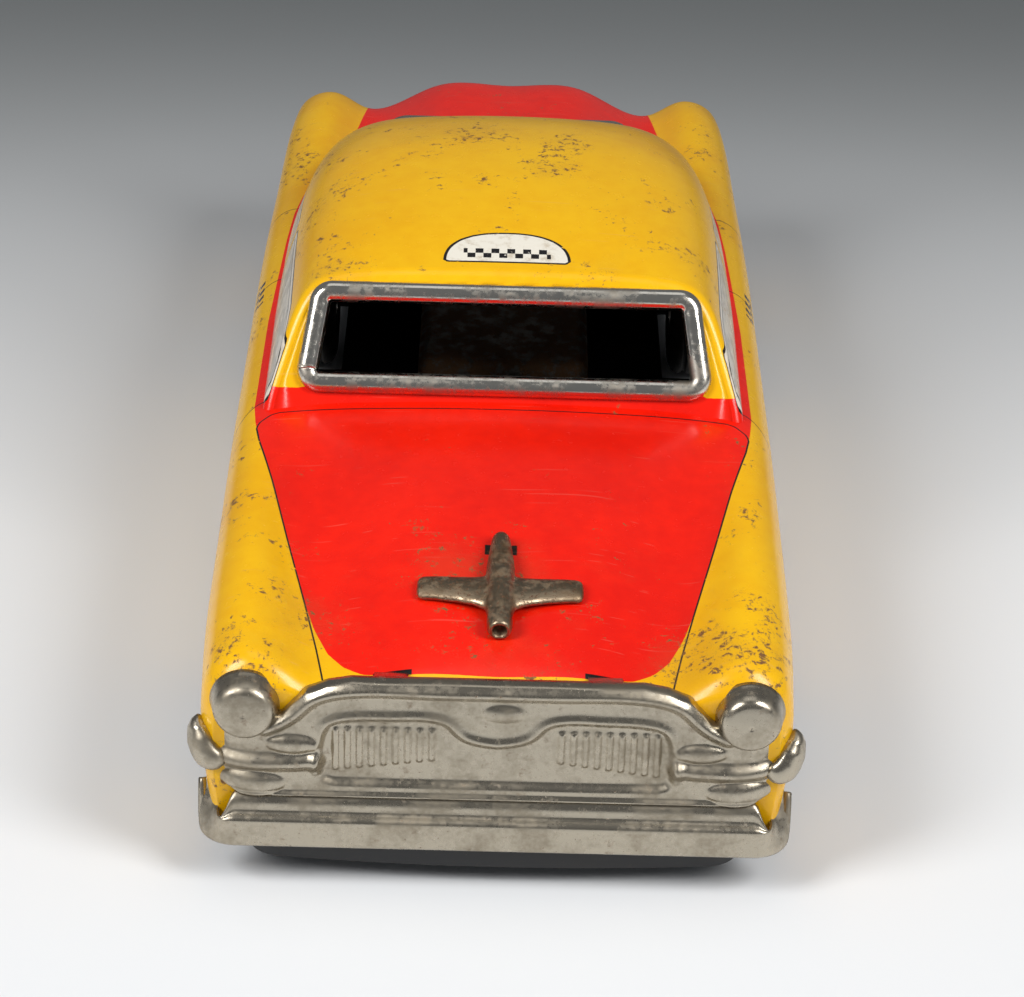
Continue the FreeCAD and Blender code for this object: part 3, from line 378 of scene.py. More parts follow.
def door_lines(s, x, y, z, on_side):
    """The printed gaps round and between the doors."""
    above_sill = s.step(z, DOOR_FOOT_Z - 0.1, DOOR_FOOT_Z + 0.1)
    zone = s.times(s.times(on_side, s.step(z, 38.7, 38.5)), above_sill)
    rear_zone = s.times(s.times(s.step(s.absolute(x), 29.0, 29.2), above_sill), s.step(z, 38.2, 38.0))
    foot_zone = s.step(s.absolute(s.less(y, DOOR_MIDDLE_Y)), DOOR_HALF_LENGTH + 0.1, DOOR_HALF_LENGTH - 0.1)
    return s.either(
        s.times(ink_line(s, s.attribute("door"), 0.12), zone),
        s.times(ink_line(s, s.less(y, DOOR_SPLIT_Y)), zone),
        s.times(ink_line(s, s.less(y, DOOR_REAR_Y)), rear_zone),
        s.times(ink_line(s, s.less(z, DOOR_FOOT_Z)), foot_zone),
    )


def pane_reflections(s, y, z, glass):
    """Slanted lines printed across the side windows."""
    slanted = s.less(y, s.times(z, REFLECTION_SLOPE))
    lines = [ink_line(s, s.add(slanted, shift), 0.09) for shift in REFLECTION_SHIFTS]
    return s.times(s.either(*lines), s.step(glass, PANE_INSET - 0.05, PANE_INSET + 0.05))


def printed_windows(s, colour, glass, ragged, stains):
    """Cream window frames round grey, streaked panes."""
    frame_mask = s.step(s.add(glass, ragged), -0.03, 0.03)
    colour = s.mix(frame_mask, colour, s.mix(stains, CREAM, STAINED_CREAM))
    streak = s.step(s.noise(0.22, 3.0, 0.6, 5.0, (1.0, 1.0, 2.4)), 0.40, 0.62)
    return s.mix(s.step(glass, PANE_INSET - 0.03, PANE_INSET + 0.03), colour, s.mix(streak, PANE, LIGHT_PANE))


def printed_ink(s, x, y, z, glass, badge):
    """All black lines and check marks, worn through in places."""
    on_side = s.step(s.absolute(x), 33.0, 33.2)
    ink = s.either(
        s.times(ink_line(s, s.attribute("hood"), 0.13), s.step(s.absolute(x), 40.0, 39.0)),
        door_lines(s, x, y, z, on_side), pane_reflections(s, y, z, glass),
        ink_line(s, glass, 0.22), ink_line(s, s.less(glass, PANE_INSET), 0.14), ink_line(s, badge, 0.19),
        check_band(s, x, s.less(y, BADGE_FRONT_Y + 1.1), 6.6, s.step(badge, 0.6, 0.7)),
        check_band(s, s.less(y, DOOR_MARK_Y), s.less(z, DOOR_MARK_Z), 4.2, on_side),
    )
    return s.times(ink, s.step(s.noise(1.1, 3.0, 0.6, 31.0), 0.26, 0.36))


def rust_and_dirt(s, colour, is_red, grain):
    """The aged colour, with the mask of the rust and that of everything dull."""
    wear = s.attribute("wear")
    haze = s.times(s.step(s.add(s.times(wear, 0.5), s.noise(0.16, 5.0, 0.65, 7.0)), 0.62, 1.15), 0.14)
    colour = s.mix(haze, colour, DIRT)
    cluster = s.step(s.add(s.noise(0.11, 3.0, 0.6, 70.0), s.times(wear, 0.22)), 0.50, 0.72)
    field = s.add(s.noise(0.85, 6.0, 0.74, 40.0, distortion=0.4), s.times(cluster, 0.135))
    field = s.less(field, s.times(is_red, 0.045))
    specks = s.step(field, 0.705, 0.73)
    fine = s.step(s.add(s.noise(3.0, 4.0, 0.7, 60.0), s.times(cluster, 0.07)), 0.725, 0.75)
    rust = s.either(specks, fine)
    colour = s.mix(s.times(s.step(field, 0.65, 0.71), 0.6), colour, DIRT)
    colour = s.mix(rust, colour, s.mix(grain, DARK_RUST, RUST))
    chips = s.either(s.scratches(1.0, 0.5), s.scratches(1.3, 2.2, 9.0), s.scratches(1.1, 1.2, 17.0))
    return s.mix(s.times(chips, 0.07), colour, SCRATCH), rust, s.either(rust, s.times(haze, 0.6))


def litho_enamel():
    """Printed glossy enamel on tin: red and yellow fields, ink lines, printed windows, rust and dirt."""
    s = Shader("litho_enamel")
    x, y, z = s.axes()
    mottle = s.noise(0.35, 5.0, 0.6, 11.0)
    grain = s.noise(2.6, 3.0, 0.6, 3.0)
    tone = s.add(s.noise(0.03, 3.0), s.times(mottle, 0.5))
    ragged = s.times(s.less(grain, 0.5), 0.10)
    is_red = s.step(s.add(s.attribute("red"), ragged), -0.03, 0.03)
    yellow = s.mix(s.step(tone, 0.55, 1.0), YELLOW, DEEP_YELLOW)
    colour = s.mix(is_red, yellow, s.mix(s.step(tone, 0.5, 1.0), RED, DEEP_RED))

    glass = s.attribute("window")
    badge = s.attribute("badge")
    stains = s.step(s.noise(0.5, 5.0, 0.65, 21.0), 0.50, 0.72)
    colour = printed_windows(s, colour, glass, ragged, stains)
    colour = s.mix(s.step(badge, -0.03, 0.03), colour, s.mix(stains, BADGE_CREAM, STAINED_BADGE))
    colour = s.mix(printed_ink(s, x, y, z, glass, badge), colour, INK)
    half_x = s.absolute(x)
    # Painted shade: the tab slots are not cut; their dark inside is painted on in black.
    slot_shade = s.either(painted_slot_shade(s, half_x, y, 14.2, -92.95, 2.6, 0.45),
                     painted_slot_shade(s, half_x, y, 1.75, -68.1, 0.5, 1.1))
    colour = s.mix(s.times(slot_shade, s.step(z, 29.0, 29.5)), colour, SLOT_SHADE_BLACK)
    colour, rust, dull = rust_and_dirt(s, colour, is_red, grain)

    roughness = s.scale_to(s.noise(0.5, 4.0, 0.6, 2.0), 0.17, 0.33)
    s.set(Base_Color=colour, Roughness=s.add(roughness, s.times(dull, 0.5)), Coat_Weight=0.15)
    s.surface.inputs["Coat Roughness"].default_value = 0.12
    s.surface.inputs["Specular IOR Level"].default_value = 0.32
    height = s.add(s.times(s.noise(0.06, 2.0, 0.5, 5.0), 0.55), s.times(grain, 0.012))
    s.bump(s.less(height, s.times(rust, 0.05)), 0.6, 0.5)
    return s.material


def painted_slot_shade(s, across, along, x, y, half_wide, half_long):
    """A rectangular slot painted black as shade, in place of a hole through the tin."""
    return s.times(s.step(s.absolute(s.less(across, x)), half_wide + 0.08, half_wide - 0.08),
                   s.step(s.absolute(s.less(along, y)), half_long + 0.08, half_long - 0.08))


def check_band(s, along, up, half_length, where):
    """Two rows of small black checks, half_length to each side of the middle."""
    column = s.math("FLOOR", s.math("DIVIDE", along, CHECK_MM))
    row = s.math("FLOOR", s.math("DIVIDE", up, CHECK_MM))
    odd = s.math("MODULO", s.absolute(s.add(column, row)), 2.0)
    in_rows = s.times(s.step(up, -0.01, 0.01), s.step(up, 2 * CHECK_MM + 0.01, 2 * CHECK_MM - 0.01))
    in_length = s.step(s.absolute(along), half_length + 0.01, half_length - 0.01)
    return s.times(s.times(odd, where), s.times(in_rows, in_length))


def plating(name, light=(0.46, 0.41, 0.325), dark=(0.34, 0.295, 0.225), rust=0.0, low_rough=0.24):
    """Dull nickel plating with tarnish, brown dirt and rust specks."""
    s = Shader(name)
    cloud = s.noise(0.14, 5.0, 0.62, 4.0)
    mottle = s.noise(1.1, 6.0, 0.7, 9.0)
    tarnish = s.step(s.add(cloud, s.times(mottle, 0.55)), 0.66, 1.02)
    colour = s.mix(tarnish, light, dark)
    stain = s.step(s.add(s.noise(0.5, 6.0, 0.7, 15.0), rust), 0.60, 0.80)
    colour = s.mix(s.times(stain, 0.75), colour, (0.17, 0.105, 0.055))
    specks = s.step(s.add(s.noise(2.3, 5.0, 0.72, 30.0), rust), 0.69, 0.72)
    colour = s.mix(specks, colour, DARK_RUST)
    brushed = s.noise(1.2, 4.0, 0.6, 2.0, (0.12, 1.0, 1.0))
    rough = s.add(s.scale_to(tarnish, low_rough, 0.52), s.times(s.less(brushed, 0.5), 0.16))
    s.set(Base_Color=colour, Roughness=s.add(rough, s.times(s.either(stain, specks), 0.25)),
          Metallic=s.less(1.0, s.times(s.either(specks, s.times(stain, 0.8)), 0.85)))
    s.bump(s.add(s.times(mottle, 0.03), s.times(s.either(specks, stain), -0.03)), 1.0, 0.5)
    return s.material


def rusty_metal(name, share):
    """Bare tin gone brown."""
    s = Shader(name)
    cloud = s.noise(0.35, 6.0, 0.68, 5.0)
    grain = s.noise(3.2, 5.0, 0.7, 8.0)
    rusted = s.step(s.add(cloud, s.times(grain, 0.3)), 0.95 - share, 1.1 - share)
    colour = s.mix(rusted, (0.30, 0.27, 0.23), s.mix(grain, (0.16, 0.075, 0.03), (0.34, 0.19, 0.09)))
    s.set(Base_Color=colour, Roughness=s.scale_to(rusted, 0.38, 0.85),
          Metallic=s.less(0.9, s.times(rusted, 0.85)))
    s.bump(s.add(grain, s.times(cloud, 0.5)), 0.25, 0.7)
    return s.material


def plain_metal(name, light, dark, low_rough, high_rough):
    """Machined or stamped metal with uneven shine."""
    s = Shader(name)
    cloud = s.noise(0.3, 5.0, 0.6, 6.0)
    fine = s.noise(3.0, 4.0, 0.65, 12.0)
    s.set(Base_Color=s.mix(s.step(s.add(cloud, s.times(fine, 0.4)), 0.5, 0.95), light, dark),
          Roughness=s.scale_to(s.step(cloud, 0.3, 0.7), low_rough, high_rough))
    s.surface.inputs["Metallic"].default_value = 1.0
    s.bump(fine, 0.05, 0.5)
    return s.material


def black_enamel():
    """Stoved black paint on the base plate, scuffed and dusty."""
    s = Shader("black_enamel")
    cloud = s.noise(0.08, 5.0, 0.6, 3.0)
    fine = s.noise(1.6, 5.0, 0.7, 14.0)
    colour = s.mix(s.step(cloud, 0.45, 0.7), (0.005, 0.005, 0.006), (0.013, 0.012, 0.011))
    specks = s.step(fine, 0.66, 0.72)
    colour = s.mix(s.either(specks, s.scratches(0.9, 0.8)), colour, (0.11, 0.06, 0.035))
    s.set(Base_Color=colour, Roughness=s.scale_to(s.step(cloud, 0.35, 0.7), 0.3, 0.5))
    s.bump(s.add(s.times(cloud, 0.4), s.times(fine, 0.05)), 0.4, 0.4)
    return s.material


def tyre_rubber():
    s = Shader("tyre_rubber")
    cloud = s.noise(0.2, 5.0, 0.65, 3.0)
    fine = s.noise(3.5, 5.0, 0.7, 9.0)
    colour = s.mix(s.step(cloud, 0.4, 0.75), (0.020, 0.019, 0.018), (0.060, 0.054, 0.046))
    s.set(Base_Color=colour, Roughness=s.scale_to(fine, 0.62, 0.9))
    s.bump(s.add(fine, s.times(cloud, 0.5)), 0.12, 0.6)
    return s.material


def inner_tin():
    """The unprinted inside of the pressing, painted nearly black as the shade inside the hollow body."""
    s = Shader("inner_tin")
    cloud = s.noise(0.1, 5.0, 0.62, 3.0)
    fine = s.noise(2.0, 5.0, 0.7, 9.0)
    dulled = s.step(s.add(cloud, s.times(fine, 0.3)), 0.45, 0.95)
    # Both tones are near black: painted shade for the dark inside of the body.
    colour = s.mix(dulled, (0.085, 0.075, 0.065), (0.035, 0.026, 0.018))
    s.set(Base_Color=colour, Roughness=s.scale_to(fine, 0.45, 0.75))
    s.surface.inputs["Metallic"].default_value = 0.55
    s.bump(fine, 0.08, 0.5)
    return s.material


# --------------------------------------------------------------------------------------------- body shell

# Rows of (station y, half section (x, z) from the centre line out and down, x at the sill). They
# follow the CAD model, but for a flatter top in the last four rows.
BODY_SECTIONS = [
    (-97.0, [(0, 28.6), (12, 28.8), (22.4, 28.6), (31.5, 31.6), (36.2, 30.0), (37.9, 25.0), (37.8, 16)], 37.0),
    (-95.4, [(0, 30.2), (12, 30.3), (23.0, 29.8), (32.2, 33.6), (37.4, 31.4), (39.2, 25.5), (39.0, 16)], 38.0),
    (-92.0, [(0, 31.9), (12, 31.8), (23.8, 30.9), (32.8, 34.9), (38.2, 32.5), (40.0, 26.0), (39.6, 16)], 38.4),
    (-84.0, [(0, 33.6), (13, 33.4), (25.3, 32.0), (33.4, 35.5), (38.6, 33.1), (40.4, 26.5), (39.9, 16)], 38.8),
    (-63.5, [(0, 36.5), (15, 36.2), (29.8, 34.2), (35.2, 36.0), (39.1, 33.6), (40.7, 27.5), (40.2, 16)], 39.0),
    (-34.0, [(0, 38.4), (17, 38.1), (33.0, 36.9), (37.0, 36.0), (39.7, 33.4), (40.9, 28.0), (40.4, 16)], 39.1),
    (0.0, [(0, 39.0), (17, 38.7), (33.2, 37.4), (37.0, 36.3), (39.7, 33.6), (40.9, 28.0), (40.4, 16)], 39.1),
    (40.0, [(0, 39.3), (17, 38.9), (32.4, 37.0), (36.2, 36.9), (39.3, 34.3), (40.5, 28.0), (40.1, 16)], 39.1),
    (62.0, [(0, 39.5), (16.5, 38.7), (28.4, 35.2), (33.6, 37.0), (38.4, 34.8), (40.0, 28.0), (39.7, 16)], 38.9),
    (82.0, [(0, 38.9), (13.0, 38.6), (26.8, 33.9), (32.2, 36.8), (37.8, 34.8), (39.5, 27.5), (39.2, 16)], 38.4),
    (91.5, [(0, 38.3), (13.0, 38.0), (26.3, 33.3), (31.8, 36.2), (37.2, 34.2), (39.0, 27.0), (38.7, 16)], 38.0),
    (95.4, [(0, 36.8), (13.0, 36.5), (26.0, 32.0), (31.4, 34.6), (36.5, 32.7), (38.2, 26.5), (38.0, 16)], 37.6),
    (97.0, [(0, 35.1), (13.0, 34.8), (25.6, 30.6), (31.0, 32.9), (35.7, 31.1), (37.2, 26.0), (37.1, 16)], 37.0),
]
ROOF_SECTIONS = [
    (-46.0, [(0, 52.0), (14, 51.9), (24, 51.4), (28.9, 50.4), (31.3, 47.8), (33.6, 43.0), (35.7, 38)], 36.6),
    (-34.0, [(0, 53.0), (14, 52.9), (24, 52.4), (28.9, 51.3), (31.3, 48.6), (33.6, 43.6), (35.7, 38)], 36.6),
    (-22.0, [(0, 54.8), (14, 54.7), (24, 54.2), (29.0, 52.9), (31.4, 50.0), (33.7, 44.5), (35.7, 38.5)], 36.7),
    (-9.0, [(0, 56.8), (14, 56.5), (23.8, 55.4), (29.1, 53.1), (31.7, 49.9), (33.9, 44.5), (35.8, 38.5)], 36.8),
    (4.0, [(0, 58.0), (14, 57.5), (23.6, 56.0), (29.2, 53.2), (31.9, 49.8), (34.0, 44.5), (35.9, 38.5)], 36.8),
    (14.0, [(0, 58.3), (14, 57.7), (23.5, 56.1), (29.1, 53.2), (31.8, 49.8), (34.0, 44.4), (35.8, 38.5)], 36.7),
    (24.0, [(0, 57.9), (14, 57.3), (23.4, 55.6), (28.8, 52.8), (31.6, 49.4), (33.8, 44.2), (35.6, 38.5)], 36.5),
    (35.0, [(0, 56.2), (14, 55.6), (22.8, 53.9), (28.1, 51.1), (31.0, 47.9), (33.2, 43.2), (35.1, 38.0)], 36.2),
    (47.0, [(0, 52.0), (13, 51.6), (21.8, 50.3), (26.9, 47.9), (29.9, 44.8), (32.1, 40.8), (33.8, 37.0)], 35.2),
    (59.0, [(0, 44.8), (12, 44.5), (20.2, 43.4), (25.2, 41.6), (28.2, 39.2), (30.2, 36.6), (31.8, 34.0)], 33.0),
    (70.0, [(0, 36.0), (11, 35.7), (18.0, 35.0), (22.0, 34.2), (24.5, 33.4), (26.6, 32.4), (28.2, 31.4)], 29.2),
]
SILL_Z = 7.2
ROOF_FOOT_Z = 30.0
WINDSCREEN = {"y": -29.0, "z": 39.3, "lean": 60.0, "height": 16.4, "low": 31.0, "top": 28.8}
REAR_WINDOW = {"y": 58.6, "z": 39.7, "lean": 137.4, "height": 15.6, "low": 21.5, "top": 19.5}
OPENING_MARGIN = 2.1
ARCH_RADIUS = 13.7
ARCH_Z = 11.6
AXLE_BOXES = [node_box(f"{end}_axle") for end in ("front", "rear")]
AXLE_YS = [float((low[1] + high[1]) / 2) for low, high in AXLE_BOXES]

COWL_LINE = [(33.4, -31.5), (34.6, -31.9), (36.2, -33.6), (36.6, -34.9)]
HOOD_LINE = [(35.9, -39.0), (33.2, -50.0), (30.1, -64.0), (26.9, -78.0), (25.3, -83.5), (24.6, -85.2),
             (23.1, -88.5), (20.9, -90.9), (18.2, -92.5), (12.9, -93.4), (-1.0, -93.45)]
TRUNK_LINE = [(36.9, -33.0), (37.4, -28.0), (37.3, 0.0), (36.2, 28.0), (35.6, 38.0), (34.6, 45.0), (32.8, 52.0),
              (30.4, 61.0), (28.2, 72.0), (26.9, 82.0), (25.9, 91.0), (25.2, 97.5)]
FRONT_WINDOW = [(-28.0, 36.4), (-29.2, 37.6), (-29.0, 42.0), (-25.6, 45.4), (-21.4, 47.2), (-17.6, 48.0),
                (-8.0, 47.6), (11.6, 46.6), (12.6, 45.6), (12.6, 36.4)]
REAR_SIDE_WINDOW = [(14.6, 36.4), (14.6, 45.4), (15.6, 46.4), (26.0, 45.9), (32.5, 44.9), (38.5, 43.0),
                    (42.6, 40.6), (44.6, 37.6), (43.6, 36.4)]
# Places with more rust and dirt: x, y, z, reach in mm, strength.
WORN_PLACES = [
    (-5, 28, 57, 9, 1.0), (-15, 27, 56, 8, 0.8), (7, 13, 58, 6, 1.0), (9, 24, 58, 6, 0.8), (-30, 8, 52, 8, 0.8),
    (-26, -18, 54, 7, 1.0), (-31, 30, 50, 9, 0.8), (14, -17, 55, 6, 0.6), (28, -10, 54, 8, 0.5), (0, 45, 53, 8, 0.5),
    (-34, -92, 33, 9, 0.8), (34, -92, 33, 9, 0.6), (-37, -72, 35, 13, 0.2), (37, -78, 35, 12, 0.2),
    (-26, -82, 33, 8, 0.9), (26, -90, 32, 8, 1.2), (0, -75, 36, 12, 0.9), (-8, -72, 36, 6, 0.9), (20, -70, 35, 7, 0.4),
    (-38, -50, 34, 12, 0.2), (36, -40, 36, 9, 0.3), (-36, 60, 36, 10, 0.7), (36, 70, 36, 12, 0.5), (0, -96, 31, 14, 0.7),
    (-39, 5, 33, 12, 0.5), (40, 20, 30, 14, 0.4), (0, 92, 37, 18, 0.4),
]


def section_outline(half, foot, foot_z, counts):
    right = [*half, (foot, foot_z)]
    left = [(-x, z) for x, z in reversed(right[1:])]
    return smooth_path(left + right, list(reversed(counts)) + list(counts))


def section_stack(sections, foot_z, counts, rows):
    """Sections resampled to dense rows: an array of (row, column, (x, z))."""
    outlines = np.array([section_outline(half, foot, foot_z, counts) for _, half, foot in sections])
    return spline([station for station, _, _ in sections], outlines, rows)


def lower_body_grid():
    rows = np.unique(np.concatenate([
        np.linspace(-97, -84, 30), np.linspace(-84, 84, 211), np.linspace(84, 97, 30)]).round(4))
    points = section_stack(BODY_SECTIONS, SILL_Z, (12, 16, 10, 8, 7, 7, 16), rows)
    grid = np.empty((len(rows), points.shape[1], 3))
    grid[..., 0] = points[..., 0]
    grid[..., 1] = rows[:, None]
    grid[..., 2] = points[..., 1]
    return grid


def snapped_to_arch(grid):
    """Moves side vertices just inside a wheel arch out to its edge. Returns the grid and the cut-away mask."""
    x, y, z = grid[..., 0], grid[..., 1], grid[..., 2]
    cut = np.zeros(x.shape, bool)
    for axle_y in AXLE_YS:
        reach = np.hypot(y - axle_y, z - ARCH_Z)
        inside = (reach < ARCH_RADIUS) & (np.abs(x) > 30)
        outside = ~inside
        touching = np.zeros_like(inside)
        touching[1:] |= outside[:-1]
        touching[:-1] |= outside[1:]
        touching[:, 1:] |= outside[:, :-1]
        touching[:, :-1] |= outside[:, 1:]
        edge = inside & touching
        share = ARCH_RADIUS / np.maximum(reach, 1e-6)
        moved_z = ARCH_Z + (z - ARCH_Z) * share
        moved_y = axle_y + (y - axle_y) * share
        at_sill = z < SILL_Z + 0.01
        y[edge] = moved_y[edge]
        z[edge & ~at_sill] = moved_z[edge & ~at_sill]
        cut |= inside & ~edge
    return grid, cut


def roof_half_width(y):
    return np.interp(y, [row[0] for row in ROOF_SECTIONS], [row[1][-1][0] for row in ROOF_SECTIONS])


def lower_body():
    grid, cut = snapped_to_arch(lower_body_grid())
    x, y, z = grid[..., 0], grid[..., 1], grid[..., 2]
    under_roof = (np.abs(x) < roof_half_width(y) - 1.2) & (y > WINDSCREEN["y"] + 1.0) & (z > 30)
    under_roof &= y < REAR_WINDOW["y"] - 0.8
    gone = (cut | under_roof).reshape(-1)
    faces = [face for face in grid_faces(*grid.shape[:2]) if not any(gone[index] for index in face)]
    return grid, faces


def end_panel(grid, at_front):
    """The upright end of the lower body, as columns dropped from the end section to the sill."""
    outline = grid[0] if at_front else grid[-1]
    y = outline[0, 1]
    widest = np.argmax(outline[:, 0])
    mirror = len(outline) - 1 - widest
    top = outline[mirror:widest + 1]
    side = outline[widest:]
    drops = np.linspace(0, 1, 28)
    columns = []
    for px, _, pz in top:
        height = pz + (SILL_Z - pz) * drops
        half = np.interp(-height, -side[:, 2], side[:, 0])
        columns.append(np.stack([px / outline[widest, 0] * half, np.full_like(height, y), height], axis=-1))
    panel = np.array(columns).transpose(1, 0, 2)
    faces = grid_faces(*panel.shape[:2])
    if at_front:
        faces = [tuple(reversed(face)) for face in faces]
    return panel, faces


class SlantedPlane:
    """A window plane leaning back from a point on the centre line."""

    def __init__(self, window):
        lean = math.radians(window["lean"])
        self.origin = np.array([0, window["y"], window["z"]])
        self.up = np.array([0, math.cos(lean), math.sin(lean)])
        self.window = window

    def y_at(self, z):
        return self.origin[1] + (z - self.origin[2]) * self.up[1] / self.up[2]

    def point(self, x, v):
        return np.stack([x, self.origin[1] + v * self.up[1], self.origin[2] + v * self.up[2]], axis=-1)

    def flat(self, points):
        return points[..., 0], (points - self.origin) @ self.up

    def opening(self, count):
        """The outline of the hole, read at evenly spaced angles about its middle."""
        low = self.window["low"] - OPENING_MARGIN
        top = self.window["top"] - OPENING_MARGIN
        bottom, height = OPENING_MARGIN, self.window["height"] - OPENING_MARGIN
        return self.polar([(-low, bottom), (low, bottom), (top, height), (-top, height)], count)

    def polar(self, outline, count):
        """Where rays from the window's middle leave a closed outline."""
        middle = self.window["height"] / 2
        turns = np.linspace(0, 2 * math.pi, count, endpoint=False)
        reach = np.full(count, 1e9)
        ring = [*outline, outline[0]]
        for (ax, av), (bx, bv) in zip(ring, ring[1:]):
            dx, dv = np.cos(turns), np.sin(turns)
            ex, ev = bx - ax, bv - av
            det = dx * -ev + dv * ex
            det = np.where(np.abs(det) < 1e-9, 1e-9, det)
            along = (ax * -ev + (av - middle) * ex) / det
            share = (dx * (av - middle) - dv * ax) / det
            hit = (along > 0) & (share >= -1e-6) & (share <= 1 + 1e-6)
            reach = np.where(hit & (along < reach), along, reach)
        return reach * np.cos(turns), middle + reach * np.sin(turns)


def roof():
    """The roof and window band, cut along both window planes with rounded edges, and the flat rings there."""
    front, rear = SlantedPlane(WINDSCREEN), SlantedPlane(REAR_WINDOW)
    rows = np.linspace(-46, 70, 700)
    stack = section_stack(ROOF_SECTIONS, ROOF_FOOT_Z, (8, 10, 8, 8, 8, 8, 8), rows)
    columns = stack.shape[1]

    def position(column, y):
        px = np.interp(y, rows, stack[:, column, 0])
        pz = np.interp(y, rows, stack[:, column, 1])
        return np.stack([px, y, pz], axis=-1)

    edge_round = 1.6
    grid = []
    for column in range(columns):
        y_front = rows[np.argmax(rows > front.y_at(stack[:, column, 1]))]
        behind = rows > rear.y_at(stack[:, column, 1])
        y_rear = rows[np.argmax(behind)] if behind.any() else rows[-1]
        for _ in range(12):
            y_front = front.y_at(np.interp(y_front, rows, stack[:, column, 1]))
            y_rear = 0.5 * (y_rear + rear.y_at(np.interp(y_rear, rows, stack[:, column, 1])))
        grid.append(position(column, np.linspace(y_front, y_rear, 120)))
    grid = np.array(grid).transpose(1, 0, 2)

    def rounded_edge(edge, surface, plane):
        """Rows that turn from the flat window plane on to the roof surface."""
        px, pv = plane.flat(edge)
        tx, tv = np.gradient(px), np.gradient(pv)
        length = np.hypot(tx, tv)
        inward_x, inward_v = tv / length, -tx / length
        towards_middle = np.sign(inward_x * -px + inward_v * (plane.window["height"] / 2 - pv))
        reach = edge_round * towards_middle
        middle = plane.point(px + inward_x * reach, pv + inward_v * reach)
        shares = np.linspace(0, 1, 7)[:, None, None]
        return (1 - shares) ** 2 * middle + 2 * shares * (1 - shares) * edge + shares ** 2 * surface

    def from_edge(rows_near_edge):
        """The surface point edge_round away from the edge, per column."""
        steps = np.linalg.norm(np.diff(rows_near_edge, axis=0), axis=-1)
        travelled = np.concatenate([np.zeros((1, columns)), np.cumsum(steps, axis=0)])
        point = np.empty((columns, 3))
        for column in range(columns):
            run = travelled[:, column]
            point[column] = [np.interp(edge_round, run, rows_near_edge[:, column, axis]) for axis in range(3)]
        return point

    front_turn = rounded_edge(grid[0], from_edge(grid[:12]), front)
    rear_turn = rounded_edge(grid[-1], from_edge(grid[::-1][:12]), rear)[::-1]
    body = np.concatenate([front_turn, grid[3:-3], rear_turn])

    mesh = Mesh().add_grid(body)
    for plane, ring_points, flip in ((front, front_turn[0], True), (rear, rear_turn[-1], False)):
        px, pv = plane.flat(ring_points)
        count = 260
        outer_x, outer_v = plane.polar(list(zip(px, pv)), count)
        inner_x, inner_v = plane.opening(count)
        shares = np.linspace(0, 1, 6)[:, None]
        ring = plane.point(inner_x + (outer_x - inner_x) * shares, inner_v + (outer_v - inner_v) * shares)
        faces = grid_faces(6, count, closed_columns=True)
        if flip:
            faces = [tuple(reversed(face)) for face in faces]
        mesh.add(ring, faces)
    return mesh


def side_x_at(y, z):
    """Half-width of the window band's side at each height, for points near the windscreen."""
    half = np.array([row[1][3:] for row in ROOF_SECTIONS if row[0] < -8.0])
    stations = [row[0] for row in ROOF_SECTIONS if row[0] < -8.0]
    result = np.empty_like(z)
    for index in range(len(z)):
        row = np.array([np.interp(y[index], stations, half[:, knot, 0]) for knot in range(4)])
        heights = np.array([np.interp(y[index], stations, half[:, knot, 1]) for knot in range(4)])
        result[index] = np.interp(z[index], heights[::-1], row[::-1])
    return result


def body_masks(points, on_roof):
    """Signed distances, in millimetres, that the printed pattern is drawn from."""
    x, y, z = points.T
    ax = np.abs(x)
    red = polygon_inside(ax, y, [*reversed(HOOD_LINE), *TRUNK_LINE, (25.2, 110.0), (-1.0, 110.0)])
    red = np.where(y > 96.9, np.minimum(25.2 - ax, z - 19.5), red)
    red = np.where(on_roof, np.where((ax < 29.5) & (y < 0), 41.0, 39.8) - z, red)

    hood = polygon_inside(ax, y, [(-1.0, -31.5), *COWL_LINE, *HOOD_LINE[:4], (24.7, -88.0), (22.9, -97.0),
                                  (22.0, -110.0), (-1.0, -110.0)])
    hood = np.where(on_roof | (z < 27.5), -9.0, hood)

    door_y = np.interp(z, [7, 27, 31, 34, 36.6, 38.6], [-31.6, -31.6, -31.2, -29.6, -27.4, -25.6])
    window = np.maximum(polygon_inside(y, z, FRONT_WINDOW), polygon_inside(y, z, REAR_SIDE_WINDOW))
    pillar_turn = ax - side_x_at(y, z) + 0.45
    window = np.minimum(window, np.where(y < 0, pillar_turn * 4.0, 9.0))
    window = np.where((ax > 27) & on_roof, window, -5.0)

    forward = y - BADGE_FRONT_Y
    reach = (np.abs(x / BADGE_HALF) ** BADGE_POWER + np.abs(forward / BADGE_DEPTH) ** BADGE_POWER)
    badge = np.minimum((1 - reach ** (1 / BADGE_POWER)) * BADGE_DEPTH, forward)
    badge = np.where(on_roof & (z > 50), badge, -5.0)

    wear = np.zeros_like(x)
    for px, py, pz, spread, strength in WORN_PLACES:
        away = (x - px) ** 2 + (y - py) ** 2 + (z - pz) ** 2
        wear += strength * np.exp(-away / (2 * (spread * 0.6) ** 2))
    return {"red": red, "hood": hood, "door": y - door_y, "window": window, "badge": badge,
            "wear": np.clip(wear, 0, 1.6)}


def printed_body(outside, inside):
    grid, faces = lower_body()
    lower = Mesh().add(grid, faces)
    for at_front in (True, False):
        lower.add(*end_panel(grid, at_front))
    lower_points, lower_faces = lower.arrays()
    roof_points, roof_faces = roof().arrays()
    keep = roof_points[:, 2] > 32.5
    roof_faces = [face for face in roof_faces if all(keep[index] for index in face)]
    points = np.vstack([lower_points, roof_points])
    on_roof = np.arange(len(points)) >= len(lower_points)
    all_faces = lower_faces + [tuple(index + len(lower_points) for index in face) for face in roof_faces]
    piece = make_piece("body_pressing", points, all_faces, outside, replaces=("body_shell",),
                       scalars=body_masks(points, on_roof))
    piece.data.materials.append(inside)
    add_modifier(piece, "WELD", merge_threshold=0.02 * MM)
    add_modifier(piece, "SOLIDIFY", thickness=0.45 * MM, offset=-1.0, material_offset=1, use_even_offset=False)
    return piece


# --------------------------------------------------------------------------------------------- front trim

